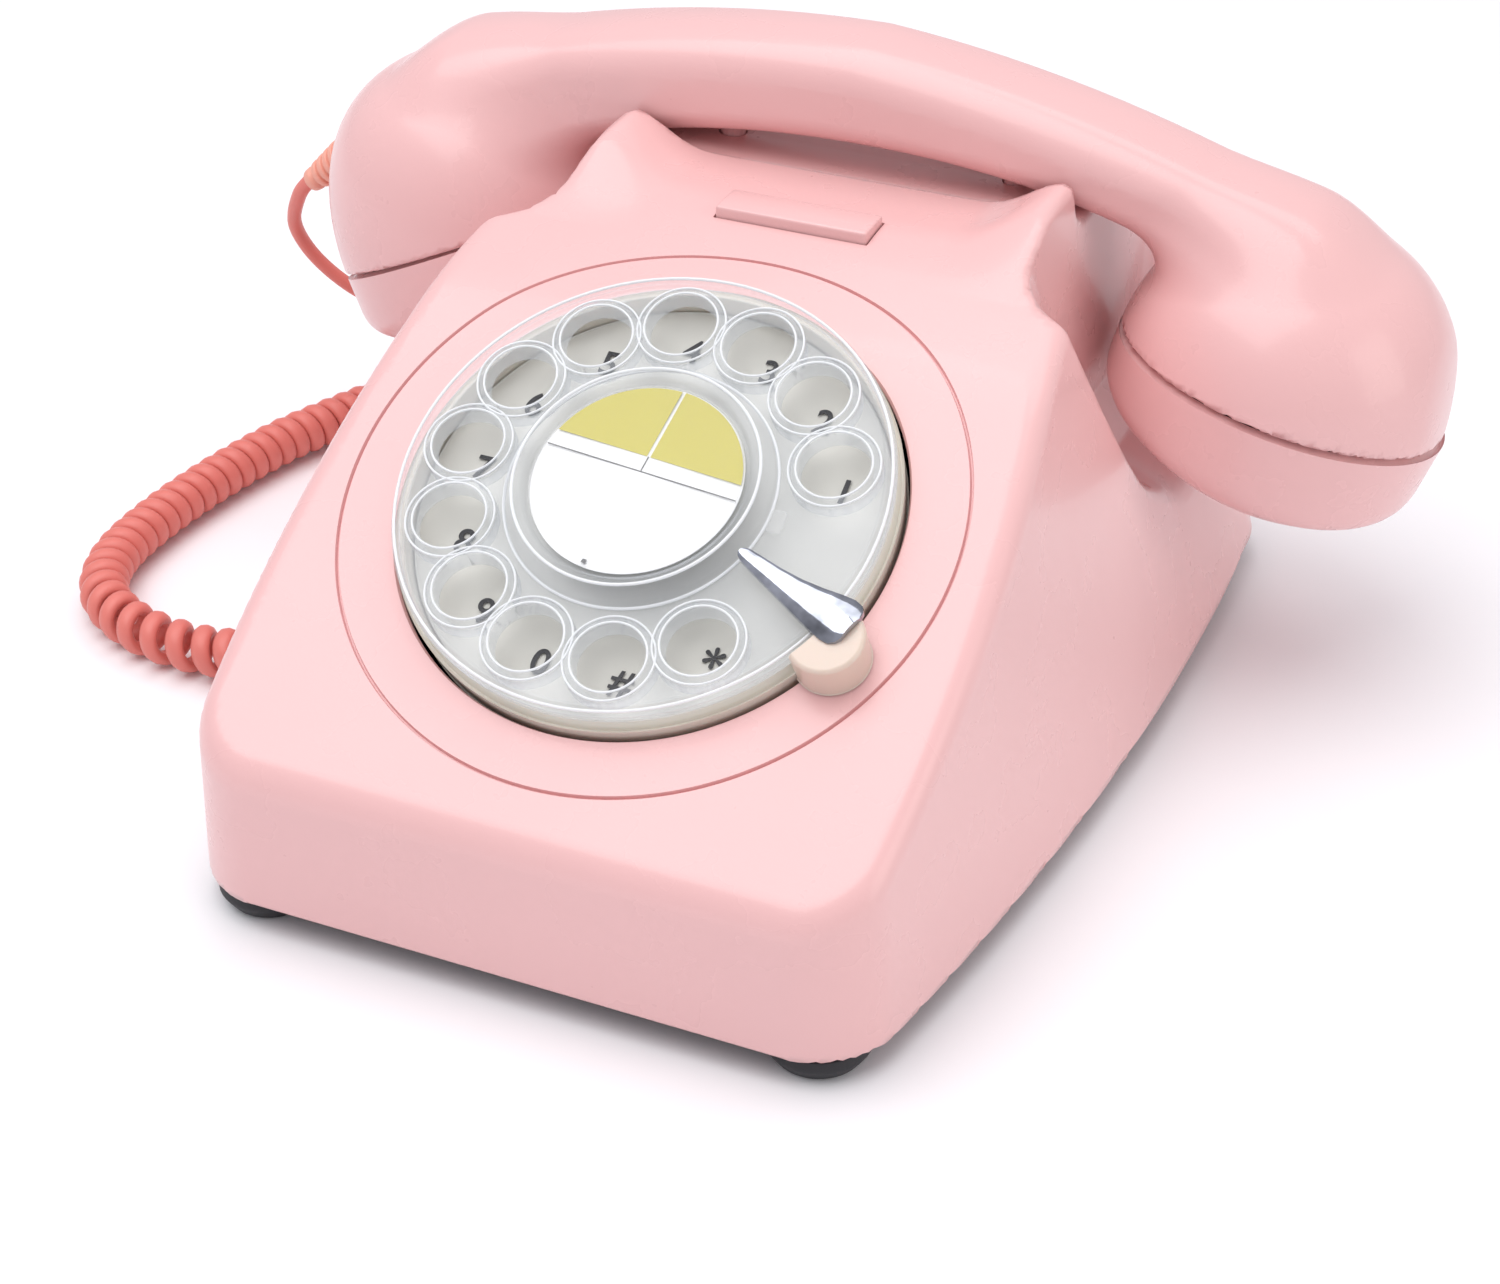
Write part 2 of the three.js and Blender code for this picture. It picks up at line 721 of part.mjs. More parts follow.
function handleShape(shrink) {
  const top = [];
  const low = [];
  const reach = cupX + 3;
  const steps = 10;
  for (let i = 0; i <= steps; i += 1) {
    const x = -reach + (2 * reach * i) / steps;
    top.push([x, arcTop(x) - shrink]);
    low.push([x, arcTop(x) - handleThick + shrink - Math.abs(x / reach) ** 3 * handleRoot]);
  }
  const end = [];
  const endRadius = handsetHalf - reach - 1 - shrink;
  const endDrop = arcTop(reach) - shrink - (seamZ + 12);
  for (let i = 1; i <= 5; i += 1) {
    const a = (90 * i * degrees) / 6;
    end.push([reach + endRadius * Math.sin(a), seamZ + 12 + endDrop * Math.cos(a)]);
  }
  const left = end.map(([x, z]) => [-x, z]);
  return polygon([...low, ...end.reverse(), ...top.reverse(), ...left]);
}
const handleSolid = prismY(handleShape(0), handleY - handleWidth / 2, handleY + handleWidth / 2);
const roundEdges = prismX(
  polygon([
    [handleY - handleWidth / 2 + 3, 60],
    [handleY + handleWidth / 2 - 3, 60],
    [handleY + handleWidth / 2, 95],
    [handleY + handleWidth / 2, handleTop - 9],
    [handleY + handleWidth / 2 - 7, handleTop + 1],
    [handleY - handleWidth / 2 + 7, handleTop + 1],
    [handleY - handleWidth / 2, handleTop - 9],
    [handleY - handleWidth / 2, 95],
  ]),
  -200,
  200,
);
const cupProfile = [
  [0, gap],
  [cupRadius - 1, gap],
  [cupRadius, 6],
  [cupRadius, 16],
  [cupRadius - 3, 25],
  [cupRadius - 10, cupAbove - 4],
  [cupRadius - 20, cupAbove],
  [0, cupAbove],
];
const cupHollow = [
  [0, -1],
  [cupRadius - cupWall - 2, -1],
  [cupRadius - cupWall - 2, 14],
  [cupRadius - cupWall - 9, 24],
  [cupRadius - 22, cupAbove - 5],
  [0, cupAbove - 5],
];
let handsetBody = join(
  common(handleSolid, roundEdges),
  onCup(lathe(cupProfile, 32), 1),
  onCup(lathe(cupProfile, 32), -1),
);
handsetBody = common(handsetBody, box(-handsetHalf, handsetHalf, 0, caseDepth * 2, 0, handleTop));
const channelHalf = 5;
const channel = prismY(handleShape(6.5), handleY - channelHalf, handleY + channelHalf);
const channelReach = box(-cupX, cupX, 0, caseDepth * 2, 0, handleTop);
handsetBody = cut(
  handsetBody,
  onCup(lathe(cupHollow, 28), 1),
  onCup(lathe(cupHollow, 28), -1),
  common(channel, channelReach),
);
place(phone, 'handset_body', handsetBody, pink);

function cap(name, side) {
  const profile = [
    [0, -capHeight],
    [cupRadius - 9, -capHeight],
    [cupRadius - 4, -capHeight + 2],
    [cupRadius - 0.8, -capHeight + 7],
    [cupRadius, -2],
    [cupRadius - 0.5, -gap / 2],
    [cupRadius - capWall - 2, -gap / 2],
    [cupRadius - capWall - 3, -capHeight + 6],
    [cupRadius - 11, -capHeight + capWall],
    [0, -capHeight + capWall],
  ];
  const shell = lathe(profile, 32);
  const sound = [];
  for (let i = 0; i < 6; i += 1) {
    const a = i * 60;
    sound.push(onCircle(disc(1.1, -capHeight - 1, -capHeight + capWall + 1, 6), 8, a));
  }
  place(phone, name, onCup(cut(shell, ...sound), side), pink);
}
cap('ear_cap', 1);
cap('mouth_cap', -1);

const capsule = [[0, -8], [20, -8], [22, -5], [22, 4], [18, 6], [0, 6]];
place(phone, 'receiver_capsule', onCup(lathe(capsule, 24), 1), blackPlastic);
place(phone, 'transmitter_capsule', onCup(lathe(capsule, 24), -1), blackPlastic);
const weightHalf = 28;
place(phone, 'handset_weight', box(-weightHalf, weightHalf, handleY - 4, handleY + 4, 106.2, 109.6), steel);

// ribbed strain relief at the microphone end
const reliefAngle = 38;
const reliefLength = 17;
const reliefParts = [[0, 0], [5.6, 0]];
const ribs = 4;
for (let i = 0; i < ribs; i += 1) {
  const z = 1.5 + ((reliefLength - 3) * i) / ribs;
  const r = 5.4 - i * 0.45;
  reliefParts.push([r, z], [r, z + 2], [r - 1.1, z + 2.3], [r - 1.1, z + (reliefLength - 3) / ribs - 0.3]);
}
reliefParts.push([3, reliefLength - 1], [3, reliefLength], [0, reliefLength]);
const reliefX = -handsetHalf - gap - 0.4;
const reliefZ = seamZ + 13;
const reliefTip = [
  reliefX - reliefLength * Math.cos(reliefAngle * degrees) + 1.3,
  handleY,
  reliefZ - reliefLength * Math.sin(reliefAngle * degrees) + 1,
];
const relief = common(
  lathe(reliefParts, 14).rotateY((-90 - reliefAngle) * degrees).translate(reliefX + 2.5, handleY, reliefZ),
  box(-200, reliefX, 0, 400, 0, 200),
);
place(phone, 'strain_relief', relief, coralPink);

// ---------------------------------------------------------------- cord

const tipOut = 4.5;
const leadPoints = [
  [reliefTip[0] - 0.6, handleY, reliefTip[2] - 0.4],
  [reliefTip[0] - tipOut * 0.8, handleY + 1, reliefTip[2] - tipOut],
  [-139, 168, 49],
  [-137.5, 172, 40],
  [-131, 175, 32.5],
  [-122, 178, 27],
  [-113, 181, 21.5],
  [-108.8, 182, 16],
];
place(phone, 'handset_lead', tube(leadPoints, leadRadius, 8, 22), coralPink);

const coilPoints = [
  [-108.6, 182, 14],
  [-109.6, 181.8, 8.6],
  [-116, 178.5, 5.6],
  [-122.5, 173, 5.6],
  [-128.7, 160, 5.6],
  [-134, 146, 5.6],
  [-138, 128, 5.6],
  [-140.3, 108, 5.6],
  [-139.5, 90, 5.6],
  [-133.5, 77, 5.6],
  [-122.5, 69.6, 5.6],
  [-110, 66.8, 5.6],
  [-98, 67.2, 6],
  [-90, 67.8, 8],
];
place(phone, 'curly_cord', tube(coilPoints, coilRadius, 10, 22), coralPink);
const plugOuter = jackX - 4;
const tailLine = [[-89.6, 67.9, 8.2], [-85, 68, 10.5], [plugOuter - gap, jackY, jackZ - 1]];
place(phone, 'cord_tail', tube(tailLine, leadRadius, 8, 4), coralPink);
place(
  phone,
  'handset_plug',
  box(plugOuter, jackX + plugIn, jackY - plugHalfY, jackY + plugHalfY, jackZ - plugHalfZ, jackZ + plugHalfZ),
  clear,
);

phone.position.y = -caseDepth / 2;

export default phone;
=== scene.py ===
import math

import bmesh
import bpy
import numpy as np
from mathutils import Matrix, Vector


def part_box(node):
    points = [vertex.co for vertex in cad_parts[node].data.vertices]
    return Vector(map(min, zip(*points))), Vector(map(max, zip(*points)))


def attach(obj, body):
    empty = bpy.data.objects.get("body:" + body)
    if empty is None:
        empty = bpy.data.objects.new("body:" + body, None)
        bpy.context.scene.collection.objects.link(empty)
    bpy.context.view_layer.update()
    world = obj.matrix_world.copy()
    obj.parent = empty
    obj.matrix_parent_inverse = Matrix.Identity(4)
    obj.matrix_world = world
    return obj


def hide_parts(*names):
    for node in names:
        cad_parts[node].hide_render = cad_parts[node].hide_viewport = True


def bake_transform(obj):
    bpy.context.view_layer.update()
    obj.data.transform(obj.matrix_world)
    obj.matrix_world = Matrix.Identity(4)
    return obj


# Rotary desk telephone. Shapes are worked out in millimetres, with y measured from the front face
# of the case, and turned into metres in the row frame when a mesh is made.
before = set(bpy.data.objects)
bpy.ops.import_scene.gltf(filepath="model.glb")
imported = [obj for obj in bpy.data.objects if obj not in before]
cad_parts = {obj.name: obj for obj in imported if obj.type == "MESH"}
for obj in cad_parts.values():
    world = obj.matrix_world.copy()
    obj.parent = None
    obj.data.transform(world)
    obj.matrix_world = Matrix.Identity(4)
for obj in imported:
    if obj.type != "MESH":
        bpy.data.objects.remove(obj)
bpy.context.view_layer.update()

MM = 0.001
FRONT_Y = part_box("case_shell")[0].y / MM

# ---------------------------------------------------------------- sizes in millimetres

CASE_DEPTH = (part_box("case_shell")[1].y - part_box("case_shell")[0].y) / MM
CASE_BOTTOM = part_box("case_shell")[0].z / MM
APRON_TOP = 34.2
FACE_ANGLE = math.radians(28.9)
FACE_SLOPE = math.tan(FACE_ANGLE)
HANDLE_Y = 163.0
DECK_Z = 94.2
WALL = 3.2
HANDSET_WALL = 3.3
DIAL_UP = 67.8
DIAL_Y = DIAL_UP * math.cos(FACE_ANGLE)
DIAL_Z = APRON_TOP + DIAL_UP * math.sin(FACE_ANGLE)
DIAL_RADIUS = 45.8
HOLES = 12
HOLE_CIRCLE = 33.9
HOLE_RADIUS = 6.35
HOLE_START = 20.6
HOLE_PITCH = 26.25
WHEEL_LOW = 3.4
WHEEL_TOP = 6.2
HUB_TOP = 10.5
LABEL_TOP = 9.2
PLATE_TOP = -1.5
SEAM_RISE = 1.8
SEAM_TILT = 0.16
SEAM_SLOPE = 0.1
STOP_ANGLE = -22.0

CUP_X = 85.2
SEAM_Z = 59.0
CUP_TILT = math.radians(19.0)
CUP_RADIUS = 33.0
HANDSET_HALF = 118.4


# ---------------------------------------------------------------- mesh helpers


def metres(points):
    """Millimetres from the front face into metres in the row frame."""
    return (np.asarray(points, float) + (0.0, FRONT_Y, 0.0)) * MM


def on_face(points):
    """Points in the dial's frame, whose z is the face's normal, into case millimetres."""
    p = np.asarray(points, float)
    c, s = math.cos(FACE_ANGLE), math.sin(FACE_ANGLE)
    along = DIAL_Y + c * p[:, 1] - s * p[:, 2]
    height = DIAL_Z + s * p[:, 1] + c * p[:, 2]
    return np.stack([p[:, 0], along, height], 1)


def on_cup(points, side):
    """Points about a vertical axis with the seam at z = 0, onto one end of the handset."""
    p = np.asarray(points, float)
    c, s = math.cos(CUP_TILT), math.sin(CUP_TILT) * side
    across = side * CUP_X + c * p[:, 0] + s * p[:, 2]
    height = SEAM_Z - s * p[:, 0] + c * p[:, 2]
    return np.stack([across, HANDLE_Y + p[:, 1], height], 1)


def make(name, points, faces, body, material, slot=None, replaces=(), sharp=35.0):
    """An object from points in case millimetres, riding on a body."""
    mesh = bpy.data.meshes.new(name)
    mesh.from_pydata([tuple(p) for p in metres(points)], [], [tuple(int(i) for i in f) for f in faces])
    mesh.validate()
    obj = bpy.data.objects.new(name, mesh)
    bpy.context.scene.collection.objects.link(obj)
    finish_mesh(obj, sharp)
    dress(obj, body, material, replaces)
    return obj


def dress(obj, body, material, replaces=()):
    obj.data.materials.clear()
    obj.data.materials.append(material)
    if body:
        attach(obj, body)
    if replaces:
        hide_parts(*replaces)


def finish_mesh(obj, sharp):
    """Outward faces, smooth shading, and sharp edges above an angle."""
    bm = bmesh.new()
    bm.from_mesh(obj.data)
    bmesh.ops.recalc_face_normals(bm, faces=bm.faces)
    limit = math.radians(sharp)
    for face in bm.faces:
        face.smooth = True
    for edge in bm.edges:
        edge.smooth = not (len(edge.link_faces) == 2 and edge.calc_face_angle(0.0) > limit)
    bm.to_mesh(obj.data)
    bm.free()


def rounded(corners, steps=5):
    """An outline of (a, b, radius) corners with each corner turned into an arc."""
    out = []
    n = len(corners)
    for i, (a, b, radius) in enumerate(corners):
        here = np.array([a, b], float)
        if radius == 0:
            out.append(here)
            continue
        before = np.array(corners[i - 1][:2], float) - here
        after = np.array(corners[(i + 1) % n][:2], float) - here
        before /= np.linalg.norm(before)
        after /= np.linalg.norm(after)
        half = math.acos(max(-1.0, min(1.0, before @ after))) / 2
        reach = radius / math.tan(half)
        centre = here + (before + after) / np.linalg.norm(before + after) * radius / math.sin(half)
        start = here + before * reach - centre
        turn = math.pi - 2 * half
        sign = 1 if start[0] * after[1] - start[1] * after[0] > 0 else -1
        for k in range(steps + 1):
            t = sign * turn * k / steps
            c, s = math.cos(t), math.sin(t)
            out.append(centre + [c * start[0] - s * start[1], s * start[0] + c * start[1]])
    return out


def revolve(profile, segments=96, centre=(0.0, 0.0), ring=False):
    """Points and faces of a solid of revolution about z; ring closes the profile on itself."""
    points, faces, rows = [], [], []
    for r, z in profile:
        if r < 1e-6:
            rows.append([len(points)] * segments)
            points.append((centre[0], centre[1], z))
            continue
        row = []
        for i in range(segments):
            a = 2 * math.pi * i / segments
            row.append(len(points))
            points.append((centre[0] + r * math.cos(a), centre[1] + r * math.sin(a), z))
        rows.append(row)
    pairs = list(zip(rows, rows[1:] + ([rows[0]] if ring else [])))
    for low, high in pairs:
        for i in range(segments):
            j = (i + 1) % segments
            face = []
            for v in (low[i], low[j], high[j], high[i]):
                if v not in face:
                    face.append(v)
            if len(face) > 2:
                faces.append(face)
    return np.array(points), faces


def soft_box(low, high, radius, steps=3):
    """Points and faces of a box with rounded edges."""
    bm = bmesh.new()
    bmesh.ops.create_cube(bm, size=1.0)
    low, high = np.array(low, float), np.array(high, float)
    for v in bm.verts:
        v.co = Vector((low + high) / 2 + np.array(v.co) * (high - low))
    bmesh.ops.bevel(bm, geom=list(bm.edges), offset=radius, segments=steps, profile=0.5, affect="EDGES")
    bm.verts.index_update()
    points = np.array([v.co for v in bm.verts])
    faces = [[v.index for v in f.verts] for f in bm.faces]
    bm.free()
    return points, faces


def joined(*parts):
    """Several (points, faces) as one."""
    points, faces, base = [], [], 0
    for p, f in parts:
        points.append(np.asarray(p, float))
        faces += [[i + base for i in face] for face in f]
        base += len(p)
    return np.concatenate(points), faces


def carve(obj, points, faces, operation="DIFFERENCE"):
    """Cuts a closed shape, given in case millimetres, out of obj."""
    mesh = bpy.data.meshes.new("cutter")
    mesh.from_pydata([tuple(p) for p in metres(points)], [], [tuple(f) for f in faces])
    cutter = bpy.data.objects.new("cutter", mesh)
    bpy.context.scene.collection.objects.link(cutter)
    bm = bmesh.new()
    bm.from_mesh(mesh)
    bmesh.ops.recalc_face_normals(bm, faces=bm.faces)
    bm.to_mesh(mesh)
    bm.free()
    modifier = obj.modifiers.new("cut", "BOOLEAN")
    modifier.operation = operation
    modifier.solver = "MANIFOLD"
    modifier.object = cutter
    view = bpy.context.evaluated_depsgraph_get()
    made = bpy.data.meshes.new_from_object(obj.evaluated_get(view))
    obj.modifiers.clear()
    obj.data = made
    bpy.data.objects.remove(cutter)


# ---------------------------------------------------------------- shapes as distance functions


def step_between(low, high, value):
    t = np.clip((value - low) / (high - low), 0.0, 1.0)
    return t * t * (3 - 2 * t)


def round_max(a, b, r):
    """Both shapes at once, with their shared edge rounded to a radius."""
    return np.minimum(-r, np.maximum(a, b)) + np.hypot(np.maximum(a + r, 0), np.maximum(b + r, 0))


def round_min(a, b, r):
    """Either shape, with the corner between them filled to a radius."""
    return -round_max(-a, -b, r)


def side_limit(y, z):
    lean = 0.03 + 0.0018 * np.minimum(y, 150.0)
    return 78.2 - (y - 145.0) ** 2 / 1418.0 - lean * (z - CASE_BOTTOM)


def top_height(x, y):
    """Height of the brow, the cradle deck and the horns."""
    in_y = np.minimum(y, 2 * HANDLE_Y - y)
    crest_y = 122.4 + 11.5 * step_between(20, 46, x)
    rise = 0.27 * step_between(28, 46, x)
    brow = DECK_Z + rise * np.maximum(in_y - 112.0, 0)
    crest = DECK_Z + rise * (crest_y - 112.0)
    back = crest - (0.06 - 0.222 * rise) * (in_y - crest_y)
    soft = 0.35
    blend = np.clip(0.5 + (back - brow) / (2 * soft), 0, 1)
    lower = back * (1 - blend) + brow * blend - soft * blend * (1 - blend)
    return np.minimum(lower, 99.6)


def scoop(x, y, z):
    """The hollow beside the cradle for one end of the handset."""
    half = 17.5 + 0.61 * (z - 32.0)
    cheeks = (np.abs(y - HANDLE_Y) - half) / 1.171
    heights, reaches = [20, 32, 44, 54, 77, 98, 130], [98, 72, 56.5, 51.3, 48.6, 46.3, 46]
    inner = np.interp(z, heights, reaches)
    slope = (np.interp(z + 3, heights, reaches) - np.interp(z - 3, heights, reaches)) / 6
    wall = (inner - x) / np.sqrt(1 + slope ** 2)
    return round_max(cheeks, wall, 14.0)


def case_solid(x, y, z):
    """The outside of the case without its lower rim."""
    x = np.abs(x)
    rear = y - (CASE_DEPTH - 0.09 * (z - CASE_BOTTOM))
    plan = round_max(round_max(x - side_limit(y, z), -y, 13.0), rear, 22.0)
    face = (z - APRON_TOP - y * FACE_SLOPE) * math.cos(FACE_ANGLE)
    top = round_max(face, z - top_height(x, y), 12.0)
    back = ((z - 100) * 19 + (y - 195) * 18) / math.hypot(19, 18)
    body = round_max(plan, round_max(top, back, 9.0), 4.0)
    trough = np.abs(y - HANDLE_Y) - np.interp(z, [90, 92, 94, 110], [12.0, 12.9, 13.7, 14.6])
    body = round_max(body, -round_max(trough, 91.7 - z, 1.5), 1.4)
    return round_max(body, -scoop(x, y, z), 1.9)


def case_shape(p):
    x, y, z = p
    solid = case_solid(x, y, z)
    return np.maximum(round_max(solid, CASE_BOTTOM - z, 1.2), -(solid + WALL))


def handset_solid(x, y, z):
    right = step_between(-30.0, 30.0, x)
    fall = 1.2 + 0.085 * np.maximum(x, 0)
    x, y = np.abs(x), y - HANDLE_Y
    along = x / 90.0
    crown = 118.0 - x ** 2 / 564.0 - fall - 0.011 * y ** 2
    under = 97.5 - x ** 2 / 523.0 - 8.0 * np.minimum(along, 1.2) ** 3
    width = np.abs(y) - 13.0 + 0.05 * np.maximum(100 - z, 0)
    handle = round_max(round_max(z - crown, width, 6.5), under - z, 5.0)
    handle = round_max(handle, x - 96.0, 8.0)
    c, s = math.cos(CUP_TILT), math.sin(CUP_TILT)
    axial = (x - CUP_X) * s + (z - SEAM_Z) * c
    across = (x - CUP_X) * c - (z - SEAM_Z) * s
    radial = np.hypot(across, y)
    dome = np.maximum(axial, 0) / (41.0 - 7.0 * right)
    power = 2.35 - 0.2 * right
    share = ((radial / CUP_RADIUS) ** power + dome ** power) ** (1 / power)
    cup = (share - 1) * 34.0 / (1 + 0.3 * dome)
    body = round_min(handle, cup, 10.0)
    return round_max(body, x - HANDSET_HALF, 3.0), axial


def handset_shape(p):
    solid, axial = handset_solid(*p)
    outward = (p[0] - CUP_X * np.sign(p[0])) * step_between(30, 50, np.abs(p[0]))
    seam = SEAM_RISE + 0.25 + SEAM_TILT * (HANDLE_Y - p[1]) + SEAM_SLOPE * outward
    return np.maximum(round_max(solid, seam - axial, 0.7), -(solid + HANDSET_WALL))


def gradient(shape, points, h=0.05):
    out = np.empty_like(points)
    for axis in range(3):
        ahead, behind = points.copy(), points.copy()
        ahead[:, axis] += h
        behind[:, axis] -= h
        out[:, axis] = (shape(ahead.T) - shape(behind.T)) / (2 * h)
    return out


def skin(shape, low, high, pitch):
    """The closed surface where shape is zero: one point in each cell that it crosses, pulled onto it."""
    axes = [np.arange(a, b + pitch, pitch) for a, b in zip(low, high)]
    field = shape(np.meshgrid(*axes, indexing="ij"))
    size = np.array(field.shape)
    total = np.zeros((*size + 1, 3))
    count = np.zeros(size + 1)
    crossings = []
    for axis in range(3):
        first = [slice(None)] * 3
        second = [slice(None)] * 3
        first[axis], second[axis] = slice(0, -1), slice(1, None)
        a, b = field[tuple(first)], field[tuple(second)]
        i, j, k = np.nonzero((a < 0) != (b < 0))
        share = a[i, j, k] / (a[i, j, k] - b[i, j, k])
        index = np.stack([i, j, k], 1)
        spot = np.stack([axes[n][index[:, n]] for n in range(3)], 1)
        spot[:, axis] += share * pitch
        others = [n for n in range(3) if n != axis]
        cells = []
        for u, v in ((0, 0), (1, 0), (1, 1), (0, 1)):
            cell = index + 1
            cell[:, others[0]] -= u
            cell[:, others[1]] -= v
            np.add.at(total, tuple(cell.T), spot)
            np.add.at(count, tuple(cell.T), 1)
            cells.append(cell)
        turned = (a[i, j, k] < 0) == (axis != 1)
        crossings.append((cells, turned))
    used = count > 0
    number = np.full(count.shape, -1)
    number[used] = np.arange(used.sum())
    points = total[used] / count[used][:, None]
    quads = []
    for cells, turned in crossings:
        quad = np.stack([number[tuple(c.T)] for c in cells], 1)
        quads.append(np.where(turned[:, None], quad, quad[:, ::-1]))
    start = points.copy()
    for _ in range(4):
        g = gradient(shape, points)
        points = points - (shape(points.T) / np.maximum((g ** 2).sum(1), 0.2))[:, None] * g
        points = start + np.clip(points - start, -pitch, pitch)
    return points, np.concatenate(quads)


def shade_from(obj, shape):
    """Shading from the exact shape where a face lies on it, and flat where a cutter made it."""
    mesh = obj.data
    n = len(mesh.polygons)
    centres, normals = np.empty(n * 3), np.empty(n * 3)
    mesh.polygons.foreach_get("center", centres)
    mesh.polygons.foreach_get("normal", normals)
    back = (0.0, FRONT_Y, 0.0)
    centres = centres.reshape(-1, 3) / MM - back
    normals = normals.reshape(-1, 3)
    slope = gradient(shape, centres)
    slope /= np.maximum(np.linalg.norm(slope, axis=1), 1e-9)[:, None]
    near = ((slope * normals).sum(1) > 0.75) & (np.abs(shape(centres.T)) < 0.5)
    spots = np.empty(len(mesh.vertices) * 3)
    mesh.vertices.foreach_get("co", spots)
    at_points = gradient(shape, spots.reshape(-1, 3) / MM - back)
    at_points /= np.maximum(np.linalg.norm(at_points, axis=1), 1e-9)[:, None]
    totals = np.empty(n, int)
    mesh.polygons.foreach_get("loop_total", totals)
    owner = np.repeat(np.arange(n), totals)
    corner = np.empty(len(mesh.loops), int)
    mesh.loops.foreach_get("vertex_index", corner)
    smooth = near[owner] & ((at_points[corner] * normals[owner]).sum(1) > 0.5)
    loops = np.where(smooth[:, None], at_points[corner], normals[owner])
    mesh.polygons.foreach_set("use_smooth", np.ones(n, bool))
    mesh.normals_split_custom_set(loops.tolist())


# ---------------------------------------------------------------- materials


def material(name, colour, rough, metal=0.0, shade=0.04, grain=0.02, grain_scale=1400.0,
             rough_change=0.06, coat=0.0, sheer=None, subsurface=0.0, patch=14.0):
    """Moulded, metal or printed surface: slow colour change, uneven gloss and a fine grain; on the chrome the colour
    change is strong and is painted reflection.
    """
    made = bpy.data.materials.new(name)
    made.use_nodes = True
    nodes, links = made.node_tree.nodes, made.node_tree.links
    shader = nodes["Principled BSDF"]
    spots = nodes.new("ShaderNodeTexCoord")

    def noise(scale, detail):
        node = nodes.new("ShaderNodeTexNoise")
        node.inputs["Scale"].default_value = scale
        node.inputs["Detail"].default_value = detail
        links.new(spots.outputs["Object"], node.inputs["Vector"])
        return node.outputs["Fac"]

    ramp = nodes.new("ShaderNodeValToRGB")
    for element, share in zip(ramp.color_ramp.elements, (1 - shade, 1 + shade)):
        element.color = (*[min(1.0, c * share) for c in colour], 1)
    ramp.color_ramp.elements[0].position = 0.3
    ramp.color_ramp.elements[1].position = 0.7
    links.new(noise(patch, 3.0), ramp.inputs["Fac"])
    links.new(ramp.outputs["Color"], shader.inputs["Base Color"])
    spread = nodes.new("ShaderNodeMapRange")
    spread.inputs["To Min"].default_value = max(0.0, rough - rough_change)
    spread.inputs["To Max"].default_value = rough + rough_change
    links.new(noise(60.0, 4.0), spread.inputs["Value"])
    links.new(spread.outputs["Result"], shader.inputs["Roughness"])
    bump = nodes.new("ShaderNodeBump")
    bump.inputs["Strength"].default_value = 1.0
    bump.inputs["Distance"].default_value = grain * MM
    links.new(noise(grain_scale, 2.0), bump.inputs["Height"])
    links.new(bump.outputs["Normal"], shader.inputs["Normal"])
    shader.inputs["Metallic"].default_value = metal
    shader.inputs["Coat Weight"].default_value = coat
    shader.inputs["Coat Roughness"].default_value = 0.06
    shader.inputs["Specular IOR Level"].default_value = 0.5
    shader.inputs["Subsurface Weight"].default_value = subsurface
    shader.inputs["Subsurface Radius"].default_value = (0.006, 0.003, 0.002)
    shader.inputs["Subsurface Scale"].default_value = 1.0
    if sheer is not None:
        edge = nodes.new("ShaderNodeLayerWeight")
        edge.inputs["Blend"].default_value = 0.35
        reach = nodes.new("ShaderNodeMapRange")
        reach.inputs["To Min"].default_value, reach.inputs["To Max"].default_value = sheer
        links.new(edge.outputs["Facing"], reach.inputs["Value"])
        links.new(reach.outputs["Result"], shader.inputs["Alpha"])
    return made


PINK = material("pink_abs", (0.82, 0.49, 0.485), 0.28, shade=0.015, grain=0.012, coat=0.15)
CORAL = material("coral_cord", (0.74, 0.20, 0.165), 0.42, shade=0.04, grain=0.02, grain_scale=2200)
PEACH = material("peach_relief", (0.82, 0.38, 0.29), 0.42, shade=0.03, grain=0.02)
CREAM = material("cream_skirt", (0.70, 0.66, 0.58), 0.3, shade=0.02, coat=0.3, subsurface=0.1)
GREY = material("plate_grey", (0.66, 0.65, 0.60), 0.42, shade=0.015, grain=0.01, grain_scale=3000)
LOBE = material("peach_lobe", (0.70, 0.57, 0.48), 0.3, shade=0.02, coat=0.3, subsurface=0.1)
CLEAR = material("clear_wheel", (0.84, 0.88, 0.92), 0.08, shade=0.01, grain=0.002,
                 rough_change=0.03, sheer=(0.14, 0.42))
# near-white, nearly opaque material for the painted highlight rings on the wheel's edges
EDGE_HIGHLIGHT = material("clear_edge_highlight", (0.93, 0.95, 0.97), 0.12, shade=0.01, grain=0.002,
                rough_change=0.03, sheer=(0.75, 0.95))
CLEAR_FLAT = material("clear_cap", (0.95, 0.96, 0.96), 0.06, shade=0.01, grain=0.001,
                      rough_change=0.02, sheer=(0.02, 0.5))
WHITE = material("label_white", (0.86, 0.87, 0.88), 0.4, shade=0.01, grain=0.004, grain_scale=4000)
YELLOW = material("label_yellow", (0.56, 0.49, 0.004), 0.5, shade=0.03, grain=0.004, grain_scale=4000)
INK = material("ink", (0.02, 0.02, 0.025), 0.4, shade=0.1, grain=0.003, grain_scale=5000)
# chrome with darkened base and strong large dark bluish colour patches (shade 0.6, patch 150): painted reflections of
# the surroundings
CHROME_PAINTED_REFLECTIONS = material("chrome", (0.40, 0.42, 0.48), 0.08, metal=1.0, shade=0.6, grain=0.05,
                  grain_scale=240, rough_change=0.03, patch=150.0)
STEEL = material("steel", (0.42, 0.43, 0.44), 0.38, metal=1.0, shade=0.08, grain=0.01, rough_change=0.1)
BRASS = material("brass", (0.62, 0.44, 0.17), 0.32, metal=1.0, shade=0.1, grain=0.01, rough_change=0.1)
NYLON = material("nylon", (0.76, 0.74, 0.66), 0.42, shade=0.03, grain=0.02)
RUBBER = material("rubber", (0.016, 0.016, 0.02), 0.55, shade=0.15, grain=0.05, grain_scale=1800)
